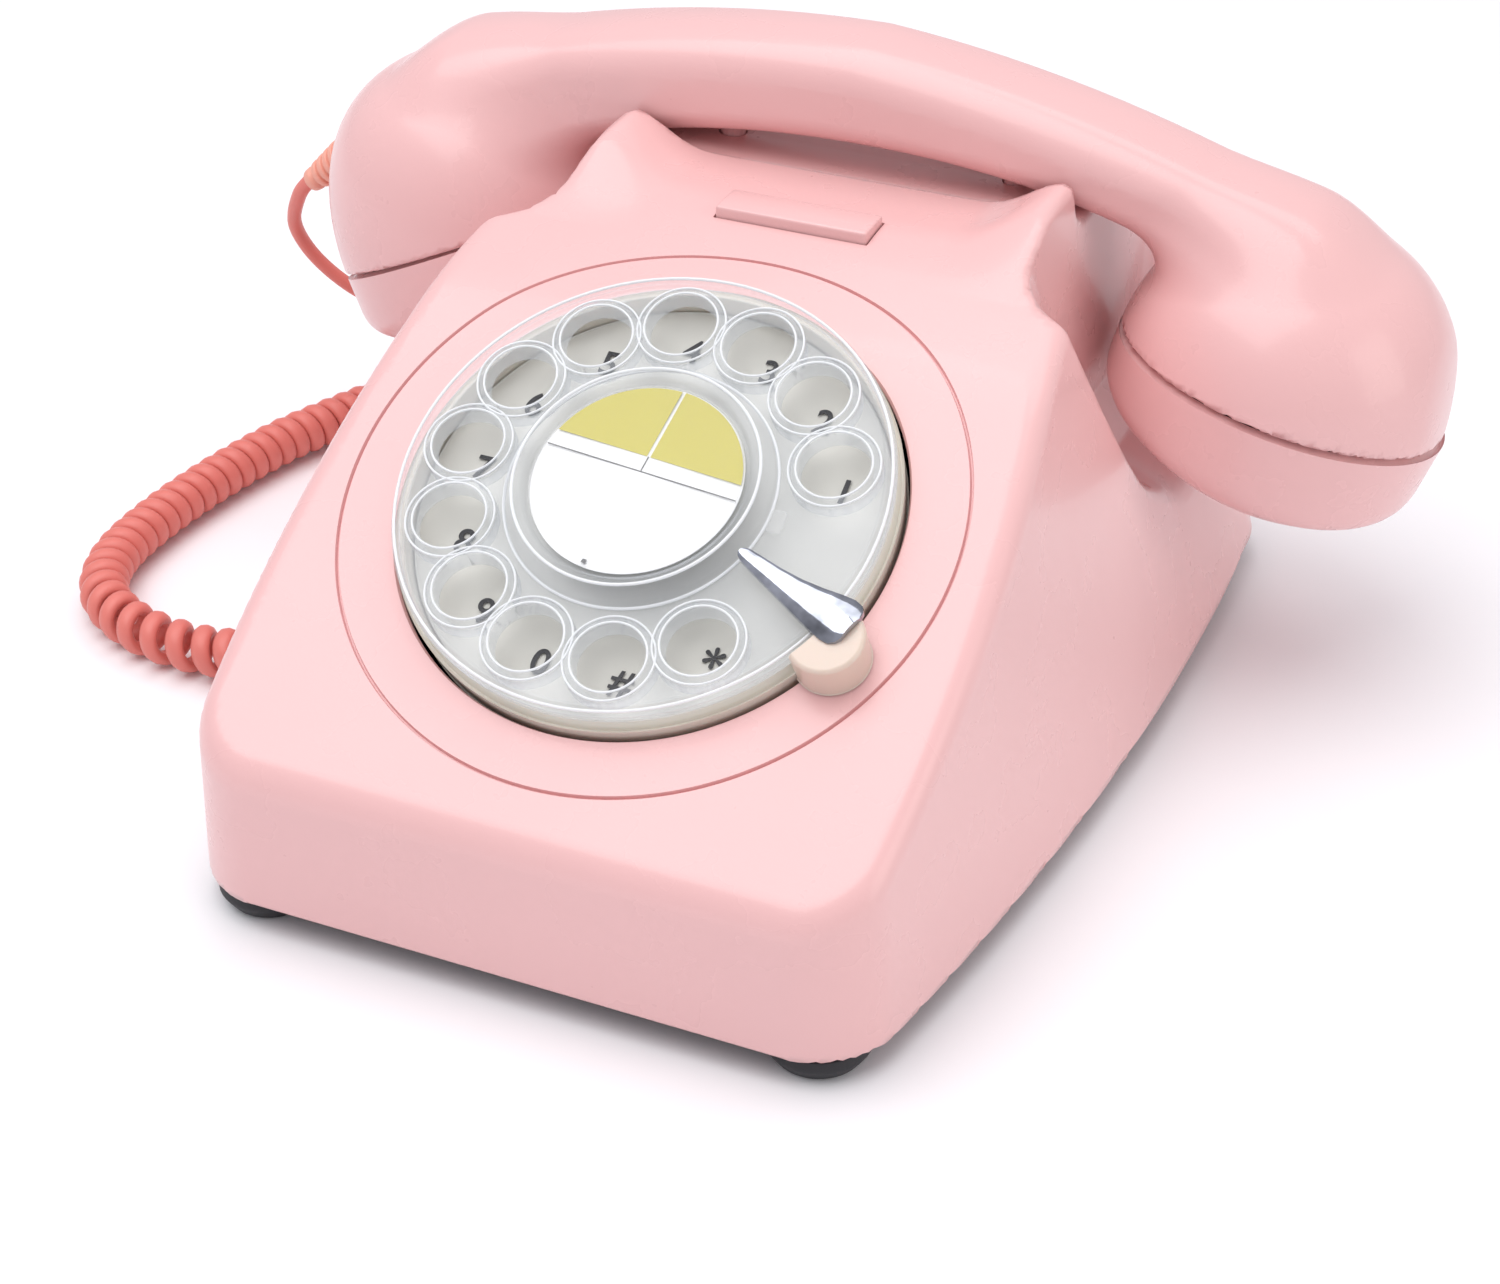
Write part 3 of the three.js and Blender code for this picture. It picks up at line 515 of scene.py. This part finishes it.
BLACK = material("black_plastic", (0.018, 0.018, 0.02), 0.38, shade=0.1, grain=0.04, grain_scale=1600)
BOARD = material("circuit_board", (0.03, 0.16, 0.07), 0.4, shade=0.15, grain=0.02, patch=160.0)
WINDING = material("winding", (0.42, 0.13, 0.05), 0.35, metal=0.8, shade=0.2, grain=0.06, grain_scale=900)

# the CAD pieces that stay, with finishes of their own
FINISHES = {
    BLACK: ["base_plate", "ringer_capacitor", "handset_jack", "line_jack", "hook_switch", "pulse_switch",
            "encoder_disc", "receiver_capsule", "transmitter_capsule"],
    STEEL: ["base_screw_front", "base_screw_rear", "ballast_plate", "line_transformer", "bell_bracket",
            "gong_post_left", "gong_post_right", "bell_clapper", "clapper_pin", "dial_can", "dial_bracket",
            "dial_spindle", "governor_shaft", "return_spring", "handset_weight"],
    BRASS: ["gong_left", "gong_right", "main_gear"],
    NYLON: ["board_post_left", "board_post_right", "hook_bar", "governor_pinion"],
    PINK: ["hook_plunger_left", "hook_plunger_right"],
    BOARD: ["main_board"],
    WINDING: ["bell_coil"],
}
for finish, names in FINISHES.items():
    for name in names:
        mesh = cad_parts[name].data
        mesh.materials.clear()
        mesh.materials.append(finish)

# ---------------------------------------------------------------- camera, light and floor

AZIMUTH, ELEVATION, DISTANCE = math.radians(23.742), math.radians(33.0), 0.48416
camera = bpy.data.objects.new("camera", bpy.data.cameras.new("camera"))
bpy.context.scene.collection.objects.link(camera)
away = Vector((math.sin(AZIMUTH) * math.cos(ELEVATION),
               -math.cos(AZIMUTH) * math.cos(ELEVATION), math.sin(ELEVATION)))
camera.location = Vector((0.02769, -0.06689, 0.05765)) + away * DISTANCE
camera.rotation_mode = "QUATERNION"
camera.rotation_quaternion = (-away).to_track_quat("-Z", "Y")
camera.data.sensor_width = 36.0
camera.data.lens = 69.484
camera.data.clip_start = 0.01
bpy.context.scene.camera = camera
bpy.context.scene.view_settings.view_transform = "Standard"


def area_light(name, position, target, size, watts, colour=(1, 1, 1)):
    light = bpy.data.lights.new(name, "AREA")
    light.shape = "RECTANGLE"
    light.size, light.size_y = size
    light.energy = watts
    light.color = colour
    obj = bpy.data.objects.new(name, light)
    obj.location = position
    obj.rotation_mode = "QUATERNION"
    obj.rotation_quaternion = (Vector(target) - Vector(position)).to_track_quat("-Z", "Y")
    bpy.context.scene.collection.objects.link(obj)


area_light("key", (-0.25, -0.3, 1.2), (0, 0, 0.04), (1.3, 1.1), 11.0)
area_light("top", (0.1, 0.5, 1.2), (0, 0, 0.05), (1.2, 0.5), 3.0)
area_light("side", (1.3, -0.1, 0.5), (0.05, 0, 0.05), (0.7, 0.9), 3.0, (1.0, 0.92, 0.84))

world = bpy.data.worlds.new("studio")
world.use_nodes = True
world.node_tree.nodes["Background"].inputs["Color"].default_value = (0.96, 0.95, 1.0, 1)
world.node_tree.nodes["Background"].inputs["Strength"].default_value = 0.58
bpy.context.scene.world = world

floor_mesh = bpy.data.meshes.new("floor")
floor_mesh.from_pydata([(-6, -4, 0), (6, -4, 0), (6, 9, 0), (-6, 9, 0)], [], [(0, 1, 2, 3)])
floor = bpy.data.objects.new("floor", floor_mesh)
bpy.context.scene.collection.objects.link(floor)
FLOOR_WHITE = material("floor_white", (0.93, 0.93, 0.95), 0.55, shade=0.005, grain=0.0, rough_change=0.02)
floor_mesh.materials.append(FLOOR_WHITE)

# ---------------------------------------------------------------- cord


def smooth_line(points, spacing):
    """A Catmull-Rom curve through points, sampled evenly."""
    p = np.array(points, float)
    p = np.concatenate([[2 * p[0] - p[1]], p, [2 * p[-1] - p[-2]]])
    out = []
    for a, b, c, d in zip(p, p[1:], p[2:], p[3:]):
        for t in np.linspace(0, 1, 40, endpoint=False):
            out.append(0.5 * (2 * b + (c - a) * t + (2 * a - 5 * b + 4 * c - d) * t * t
                              + (3 * b - a - 3 * c + d) * t ** 3))
    out.append(p[-2])
    out = np.array(out)
    run = np.concatenate([[0], np.cumsum(np.linalg.norm(np.diff(out, axis=0), axis=1))])
    where = np.linspace(0, run[-1], max(2, int(run[-1] / spacing)) + 1)
    return np.stack([np.interp(where, run, out[:, n]) for n in range(3)], 1), run[-1]


def frames_along(line):
    """Tangents and a pair of steady cross directions along a line."""
    tangent = np.gradient(line, axis=0)
    tangent /= np.linalg.norm(tangent, axis=1)[:, None]
    first = np.cross(tangent[0], (0.0, 0.0, 1.0))
    if np.linalg.norm(first) < 0.2:
        first = np.cross(tangent[0], (0.0, 1.0, 0.0))
    across = [first / np.linalg.norm(first)]
    for t in tangent[1:]:
        a = across[-1] - (across[-1] @ t) * t
        across.append(a / np.linalg.norm(a))
    across = np.array(across)
    return tangent, across, np.cross(tangent, across)


def tube(line, across, other, half_a, half_b, sides=12):
    """Points and faces of a closed tube of oval section along a line."""
    turn = np.linspace(0, 2 * math.pi, sides, endpoint=False)
    half_a = np.broadcast_to(half_a, len(line))
    half_b = np.broadcast_to(half_b, len(line))
    rings = (line[:, None] + np.cos(turn)[None, :, None] * (across * half_a[:, None])[:, None]
             + np.sin(turn)[None, :, None] * (other * half_b[:, None])[:, None])
    n = len(line)
    faces = [[i * sides + j, i * sides + (j + 1) % sides,
              (i + 1) * sides + (j + 1) % sides, (i + 1) * sides + j]
             for i in range(n - 1) for j in range(sides)]
    faces.append(list(range(sides))[::-1])
    faces.append([(n - 1) * sides + j for j in range(sides)])
    return rings.reshape(-1, 3), faces


RELIEF_TIP = np.array([-131.1, HANDLE_Y, 62.5])
LEAD = [RELIEF_TIP + (1.5, 0, 1.2), RELIEF_TIP, (-134.7, 164, 58), (-139, 168, 49), (-137.5, 172, 40),
        (-131, 175, 32.5), (-122, 178, 27), (-113, 181, 21.5), (-108.8, 182, 16)]
COIL = [(-108.6, 182, 14), (-109.6, 181.8, 8.6), (-116, 178.5, 5.6), (-122.5, 173, 5.6), (-128.7, 160, 5.6),
        (-134, 146, 5.6), (-138, 128, 5.6), (-140.3, 108, 5.6), (-139.5, 90, 5.6), (-133.5, 77, 5.6),
        (-122.5, 69.6, 5.6), (-110, 66.8, 5.6), (-98, 67.2, 6), (-90, 67.8, 8)]
PLUG_FACE = np.array([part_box("handset_plug")[0].x / MM, 68.0, 12.0])
TAIL = [(-90, 67.8, 8), (-86, 68, 10.3), PLUG_FACE + (0.6, 0, 0)]
HELIX_RADIUS = 3.75
TURN_PITCH = 4.3
LEAD_RADIUS = 1.6

axis, coil_length = smooth_line(COIL, 0.18)
tangent, across, other = frames_along(axis)
run = np.linspace(0, coil_length, len(axis))
opened = np.exp(-((run / coil_length - 0.86) / 0.1) ** 2)
rate = 2 * math.pi / (TURN_PITCH * (1 + 0.45 * opened))
angle = np.concatenate([[0], np.cumsum((rate[1:] + rate[:-1]) / 2 * np.diff(run))])
swell = HELIX_RADIUS * np.minimum(1.0, np.minimum(run, coil_length - run) / 5.0)
out = np.cos(angle)[:, None] * across + np.sin(angle)[:, None] * other
helix = axis + out * swell[:, None]
lead, _ = smooth_line(LEAD, 0.8)
tail, _ = smooth_line(TAIL, 0.8)
wire = np.concatenate([lead[:-1], helix, tail[1:]])
wire_run = np.concatenate([[0], np.cumsum(np.linalg.norm(np.diff(wire, axis=0), axis=1))])
where = np.linspace(0, wire_run[-1], int(wire_run[-1] / 0.95))
wire = np.stack([np.interp(where, wire_run, wire[:, n]) for n in range(3)], 1)
middle = np.concatenate([lead[:-1], axis, tail[1:]])
middle = np.stack([np.interp(where, wire_run, middle[:, n]) for n in range(3)], 1)
coiled = [np.zeros(len(lead) - 1), swell / HELIX_RADIUS, np.zeros(len(tail) - 1)]
is_coil = np.interp(where, wire_run, np.concatenate(coiled))
wire_tangent, wire_across, wire_other = frames_along(wire)
radial = wire - middle
radial -= (radial * wire_tangent).sum(1)[:, None] * wire_tangent
size = np.linalg.norm(radial, axis=1)[:, None]
radial = np.where(size > 0.8, radial / np.maximum(size, 1e-6), wire_across)
sideways = np.cross(wire_tangent, radial)
cord_points, cord_faces = tube(wire, radial, sideways,
                               LEAD_RADIUS - 0.2 * is_coil, LEAD_RADIUS + 0.42 * is_coil, 10)
cord = make("handset_cord", cord_points, cord_faces, None, CORAL, sharp=80.0)
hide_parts("handset_lead", "curly_cord", "cord_tail")
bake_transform(cord)

plug_low, plug_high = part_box("handset_plug")
low = [plug_low.x / MM, plug_low.y / MM - FRONT_Y, plug_low.z / MM]
high = [plug_high.x / MM, plug_high.y / MM - FRONT_Y, plug_high.z / MM]
plug_body = soft_box(low, high, 0.7)
plug = make("cord_plug", *plug_body, "case", CLEAR, "clear", ["handset_plug"])

# ---------------------------------------------------------------- case

points, faces = skin(case_shape, (-80, -3, 2), (80, 217, 103), 1.6)
case = bpy.data.objects.new("case_body", bpy.data.meshes.new("case_body"))
case.data.from_pydata(metres(points).tolist(), [], faces.tolist())
bpy.context.scene.collection.objects.link(case)

opening = revolve([(0, 3), (DIAL_RADIUS + 0.9, 3), (DIAL_RADIUS + 0.5, 0.2),
                   (DIAL_RADIUS, -0.7), (DIAL_RADIUS, -30), (0, -30)], 160)
carve(case, on_face(opening[0]), opening[1])
groove = revolve([(55.85, 1), (57.15, 1), (56.8, -0.2),
                  (56.65, -0.9), (56.35, -0.9), (56.2, -0.2)], 220, ring=True)
groove_points = groove[0].copy()
for _ in range(12):
    groove_points[:, 2] -= case_solid(*on_face(groove_points - (0, 0, 1) * groove[0][:, 2:]).T)
carve(case, on_face(groove_points), groove[1])
key_low, key_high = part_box("cradle_key")
key_low = [key_low.x / MM, key_low.y / MM - FRONT_Y, key_low.z / MM]
key_high = [key_high.x / MM, key_high.y / MM - FRONT_Y, key_high.z / MM]
pocket = soft_box((key_low[0] - 0.3, key_low[1] - 0.3, 90.5),
                  (key_high[0] + 0.3, key_high[1] + 0.3, 100), 0.25, 2)
carve(case, *pocket)
for side in (-1, 1):
    hole = revolve([(0, 60), (2.9, 60), (2.9, 96), (0, 96)], 40, centre=(30 * side, HANDLE_Y))
    carve(case, *hole)
jack_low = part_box("handset_jack")[0]
jack = [jack_low.x / MM, jack_low.y / MM - FRONT_Y, jack_low.z / MM]
mouth = soft_box((jack[0] - 8, 61.2, 6.7), (jack[0] + 8, 74.8, 19.3), 0.8)
carve(case, *mouth)
mouth = soft_box((32, 202, 11), (48, 222, 25), 0.8)
carve(case, *mouth)
shade_from(case, case_shape)
dress(case, "case", PINK, ["case_shell"])

key = soft_box(key_low, key_high, 0.55)
make("cradle_bar", *key, "key", PINK, "case", ["cradle_key"])


def foot(name, x, y):
    profile = rounded([(0, 0.0, 0), (7.4, 0.0, 1.8), (9.5, 3.2, 1.5), (9.2, 5.2, 0.3), (0, 5.2, 0)])
    make(name + "_rubber", *revolve(profile, 48, centre=(x, y)), "case", RUBBER, "rubber", [name])


for name in ("foot_front_left", "foot_front_right", "foot_rear_left", "foot_rear_right"):
    low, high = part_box(name)
    foot(name, (low.x + high.x) / 2 / MM, (low.y + high.y) / 2 / MM - FRONT_Y)

# ---------------------------------------------------------------- handset

points, faces = skin(handset_shape, (-121, 127, 40), (121, 199, 121), 1.35)
handset = bpy.data.objects.new("handset_shell", bpy.data.meshes.new("handset_shell"))
handset.data.from_pydata(metres(points).tolist(), [], faces.tolist())
bpy.context.scene.collection.objects.link(handset)
shade_from(handset, handset_shape)
dress(handset, "handset", PINK, ["handset_body"])

CAP = rounded([(0, -13.5, 0), (10, -13.5, 0), (11, -12.9, 0.5), (15, -12.9, 0.5), (16, -13.5, 0.5),
               (26.5, -13.5, 4), (32.6, -9.0, 5), (33.0, -0.15, 0.5), (30.5, -0.15, 0.3), (30.2, -8, 2), (25, -11.2, 1), (0, -11.2, 0)])
for name, side in (("ear_cap", 1), ("mouth_cap", -1)):
    points, faces = revolve(CAP, 120)
    rise = SEAM_RISE - SEAM_TILT * points[:, 1] + SEAM_SLOPE * points[:, 0]
    points[:, 2] += rise * step_between(-9.0, -0.3, points[:, 2])
    points[:, :2] *= np.sqrt(1 - (np.maximum(points[:, 2], 0) / 41.5) ** 2)[:, None]
    obj = make(name + "_shell", on_cup(points, side), faces, "handset", PINK, "case", [name])
    for ring_radius, holes in ((0, 1), (4.5, 6), (8, 9)):
        for i in range(holes):
            a = 2 * math.pi * i / holes
            centre = (ring_radius * math.cos(a), ring_radius * math.sin(a))
            hole = revolve([(0, -16), (0.9, -16), (0.9, -10), (0, -10)], 16, centre=centre)
            carve(obj, on_cup(hole[0], side), hole[1])
    finish_mesh(obj, 35.0)

# ribbed strain relief
relief_corners = [(0, -2.0, 0), (5.3, -2.0, 0.4)]
for i in range(6):
    z, r = 0.8 + 2.3 * i, 5.0 - 0.35 * i
    relief_corners += [(r, z, 0.35), (r - 0.2, z + 1.3, 0.35),
                       (r - 1.0, z + 1.45, 0.1), (r - 1.05, z + 2.15, 0.1)]
relief_corners += [(2.7, 15.2, 0.5), (2.5, 17.0, 0.6), (1.7, 17.0, 0), (0, 17.0, 0)]
points, faces = revolve(rounded(relief_corners, 3), 40)
relief_angle = math.radians(90 + 38)
c, s = math.cos(relief_angle), math.sin(relief_angle)
start = np.array([-117.0, HANDLE_Y, 73.2])
points = np.stack([points[:, 0] * c - points[:, 2] * s, points[:, 1],
                   points[:, 0] * s + points[:, 2] * c], 1) + start
make("cord_relief", points, faces, "handset", PEACH, "cord", ["strain_relief"])

# ---------------------------------------------------------------- dial


def dial_piece(name, part, body, material_, slot, replaces=(), sharp=35.0):
    points, faces = part
    return make(name, on_face(points), faces, body, material_, slot, replaces, sharp)


skirt = rounded([(9, -4.6, 0), (45.3, -4.6, 0.3), (45.3, 2.5, 0.7),
                 (43.3, 2.5, 0.3), (43.1, -2.8, 0.2), (9, -2.8, 0)])
dial_piece("dial_skirt_ring", revolve(skirt, 160, ring=True), "case", CREAM, "skirt", ["dial_skirt"])
lobe_x = 47.0 * math.cos(math.radians(STOP_ANGLE - 4))
lobe_y = 47.0 * math.sin(math.radians(STOP_ANGLE - 4))
lobe = revolve(rounded([(0, 0.3, 0), (7, 0.3, 0.2), (6.8, 8.1, 0.9), (0, 8.1, 0)]), 64, centre=(lobe_x, lobe_y))
lobe_obj = dial_piece("dial_lobe", lobe, "case", LOBE, "skirt")
clearance = revolve([(0, -3), (45.35, -3), (45.35, 12), (0, 12)], 160)
carve(lobe_obj, on_face(clearance[0]), clearance[1])
finish_mesh(lobe_obj, 35.0)

plate = rounded([(7, PLATE_TOP - 1, 0), (42.8, PLATE_TOP - 1, 0.2), (42.8, PLATE_TOP, 0.25), (7, PLATE_TOP, 0)])
dial_piece("dial_plate", revolve(plate, 128, ring=True), "case", GREY, "number_plate", ["number_plate"])


def glyph(text, size, x, y, z, depth=0.12):
    """A character of the plain built-in font, as points and faces in the dial's frame."""
    curve = bpy.data.curves.new("glyph", "FONT")
    curve.body = text
    curve.size = size
    curve.align_x, curve.align_y = "CENTER", "CENTER"
    curve.extrude = depth / 2
    curve.offset = 0.09
    obj = bpy.data.objects.new("glyph", curve)
    bpy.context.scene.collection.objects.link(obj)
    view = bpy.context.evaluated_depsgraph_get()
    mesh = bpy.data.meshes.new_from_object(obj.evaluated_get(view))
    points = np.array([v.co for v in mesh.vertices]) + (x, y, z)
    faces = [list(f.vertices) for f in mesh.polygons]
    bpy.data.objects.remove(obj)
    bpy.data.curves.remove(curve)
    return points, faces


marks = []
for i, text in enumerate("1234567890#*"):
    a = math.radians(HOLE_START + HOLE_PITCH * i)
    marks.append(glyph(text, 6.9 if text != "*" else 9.0, HOLE_CIRCLE * math.cos(a) + 0.3, HOLE_CIRCLE * math.sin(a) - 0.2,
                       PLATE_TOP + 0.05))
dial_piece("dial_marks", joined(*marks), "case", INK, None, sharp=30.0)

wheel = rounded([(0, WHEEL_LOW, 0), (44.7, WHEEL_LOW, 0.5), (44.7, 6.6, 0.7), (42.8, 6.6, 0.6), (42.4, WHEEL_TOP, 0.3),
                 (24.4, WHEEL_TOP, 0.3), (23.9, 8.2, 0.8), (22.2, HUB_TOP, 0.8), (20.3, HUB_TOP - 0.3, 0.5),
                 (19.7, LABEL_TOP - 0.8, 0.3), (0, LABEL_TOP - 0.8, 0)], 4)
wheel_points, wheel_faces = revolve(wheel, 180)
wheel_obj = dial_piece("wheel_clear", (wheel_points, wheel_faces), "dial_rotor", CLEAR, "clear", ["finger_wheel"])
for i in range(HOLES):
    a = math.radians(HOLE_START + HOLE_PITCH * i)
    centre = (HOLE_CIRCLE * math.cos(a), HOLE_CIRCLE * math.sin(a))
    outline = [(6.0, WHEEL_LOW + 0.3, 0), (8.3, WHEEL_LOW + 0.3, 0), (8.3, WHEEL_TOP, 0),
               (8.15, WHEEL_TOP + 0.5, 0.25), (7.8, WHEEL_TOP + 0.5, 0.25), (7.6, WHEEL_TOP + 0.15, 0.1),
               (7.2, WHEEL_TOP + 0.9, 0.3), (6.35, WHEEL_TOP + 0.9, 0.3), (6.0, WHEEL_TOP, 0)]
    collar = revolve(rounded(outline, 3), 64, centre, ring=True)
    carve(wheel_obj, on_face(collar[0]), collar[1], "UNION")
    hole = revolve([(0, 0), (HOLE_RADIUS, 0), (HOLE_RADIUS, 12), (0, 12)], 64, centre)
    carve(wheel_obj, on_face(hole[0]), hole[1])
finish_mesh(wheel_obj, 30.0)

card = rounded([(0, LABEL_TOP - 0.5, 0), (19.0, LABEL_TOP - 0.5, 0.1), (19.0, LABEL_TOP, 0.15), (0, LABEL_TOP, 0)], 3)
dial_piece("label_disc", revolve(card, 96), "dial_rotor", WHITE, "card", ["label_card"])


def flat_shape(outline, low, high):
    """A thin prism of an outline in the dial's frame."""
    n = len(outline)
    points = [(x, y, low) for x, y in outline] + [(x, y, high) for x, y in outline]
    faces = [list(range(n))[::-1], list(range(n, 2 * n))]
    faces += [[i, (i + 1) % n, n + (i + 1) % n, n + i] for i in range(n)]
    return np.array(points), faces


LABEL_TURN = math.radians(-5.0)
LABEL_RADIUS = 18.6
CHORD = 4.6
PRINT = 0.05
GUTTER = 0.35


def printed(outline):
    """A thin layer of ink on the label card."""
    c, s = math.cos(LABEL_TURN), math.sin(LABEL_TURN)
    return flat_shape([(c * x - s * y, s * x + c * y) for x, y in outline], LABEL_TOP, LABEL_TOP + PRINT)


edge = math.asin(CHORD / LABEL_RADIUS)
band = [(LABEL_RADIUS * math.cos(t), LABEL_RADIUS * math.sin(t)) for t in np.linspace(edge, math.pi - edge, 48)]
top_y = math.sqrt(LABEL_RADIUS ** 2 - GUTTER ** 2)
left = [(-GUTTER, CHORD), (-GUTTER, top_y)] + [p for p in band if p[0] < -GUTTER]
right = [p for p in band if p[0] > GUTTER] + [(GUTTER, top_y), (GUTTER, CHORD)]
dial_piece("label_band", joined(printed(left), printed(right)), "dial_rotor", YELLOW, "card")
rule_half = math.sqrt(LABEL_RADIUS ** 2 - 1.5 ** 2)
rule = printed([(-rule_half, 1.35), (rule_half, 1.35), (rule_half, 1.55), (-rule_half, 1.55)])
upright = printed([(-0.1, 1.6), (0.1, 1.6), (0.1, CHORD), (-0.1, CHORD)])
notch = printed([(-1.6, -18.2), (-0.6, -18.4), (-0.7, -17.5), (-1.5, -17.5)])
dial_piece("label_rules", joined(rule, upright, notch), "dial_rotor", INK, None)
cap = rounded([(0, 9.5, 0), (19.0, 9.5, 0.1), (19.0, 10.4, 0.45), (0, 10.4, 0)], 4)
dial_piece("label_glass", revolve(cap, 96), "dial_rotor", CLEAR_FLAT, "clear", ["label_cap"])
catch = soft_box((24.6, -3.4, 6.5), (27.4, 1.0, 7.4), 0.4)
dial_piece("label_latch", catch, "dial_rotor", CLEAR_FLAT, "clear", ["label_catch"])


def highlight_ring(radius, height, thick, centre=(0.0, 0.0), sides=10):
    """A thin ring in the dial's frame, near-white and nearly opaque along an edge of the clear wheel: a painted
    highlight.
    """
    turns = np.linspace(0, 2 * math.pi, sides, endpoint=False)
    return revolve([(radius + thick * math.cos(t), height + thick * math.sin(t)) for t in turns], 96, centre, ring=True)


# near-white rings along the edges of the wheel, its hub and its finger holes: painted highlights standing in for bright
# edge glints
edges = [highlight_ring(44.0, 6.75, 0.28), highlight_ring(24.3, 6.5, 0.3), highlight_ring(21.9, HUB_TOP - 0.05, 0.3)]
for i in range(HOLES):
    a = math.radians(HOLE_START + HOLE_PITCH * i)
    centre = (HOLE_CIRCLE * math.cos(a), HOLE_CIRCLE * math.sin(a))
    edges += [highlight_ring(6.7, WHEEL_TOP + 0.95, 0.2, centre), highlight_ring(8.05, WHEEL_TOP + 0.5, 0.2, centre)]
dial_piece("wheel_edge_highlights", joined(*edges), "dial_rotor", EDGE_HIGHLIGHT, "clear")

# finger stop: a tapering crowned blade that ends over the lobe
STOP_TOP = 9.7
STOP_THICK = 1.1
# distance from the dial's middle, and the lower and upper halves of the width there
stations = [(24.7, 0.45, 0.45), (25.1, 0.95, 0.95), (25.9, 1.3, 1.3), (29.0, 1.8, 1.5), (33.0, 2.4, 1.75), (37.0, 3.0, 2.3),
            (41.0, 3.6, 3.3), (44.0, 4.0, 4.3), (46.5, 4.3, 4.9), (48.2, 4.1, 4.7), (49.2, 3.3, 3.8), (49.7, 2.2, 2.6)]
points, faces = [], []
sides = 9
for radius, lower, upper in stations:
    for top in (True, False):
        for k in range(sides):
            t = -1 + 2 * k / (sides - 1) if top else 1 - 2 * k / (sides - 1)
            half = upper if t > 0 else lower
            crown = 0.3 * t * t * half
            points.append((radius, half * t, STOP_TOP - crown - (0 if top else STOP_THICK)))
row = 2 * sides
for i in range(len(stations) - 1):
    for k in range(row):
        m = (k + 1) % row
        faces.append([i * row + k, i * row + m, (i + 1) * row + m, (i + 1) * row + k])
faces.append(list(range(row))[::-1])
faces.append([(len(stations) - 1) * row + k for k in range(row)])
turn = math.radians(STOP_ANGLE)
points = np.array(points)
points = np.stack([points[:, 0] * math.cos(turn) - points[:, 1] * math.sin(turn),
                   points[:, 0] * math.sin(turn) + points[:, 1] * math.cos(turn), points[:, 2]], 1)
# the blade's dark and light patches come from the chrome's painted reflections
dial_piece("stop_blade", (points, faces), "case", CHROME_PAINTED_REFLECTIONS, "chrome", ["finger_stop"], sharp=50.0)
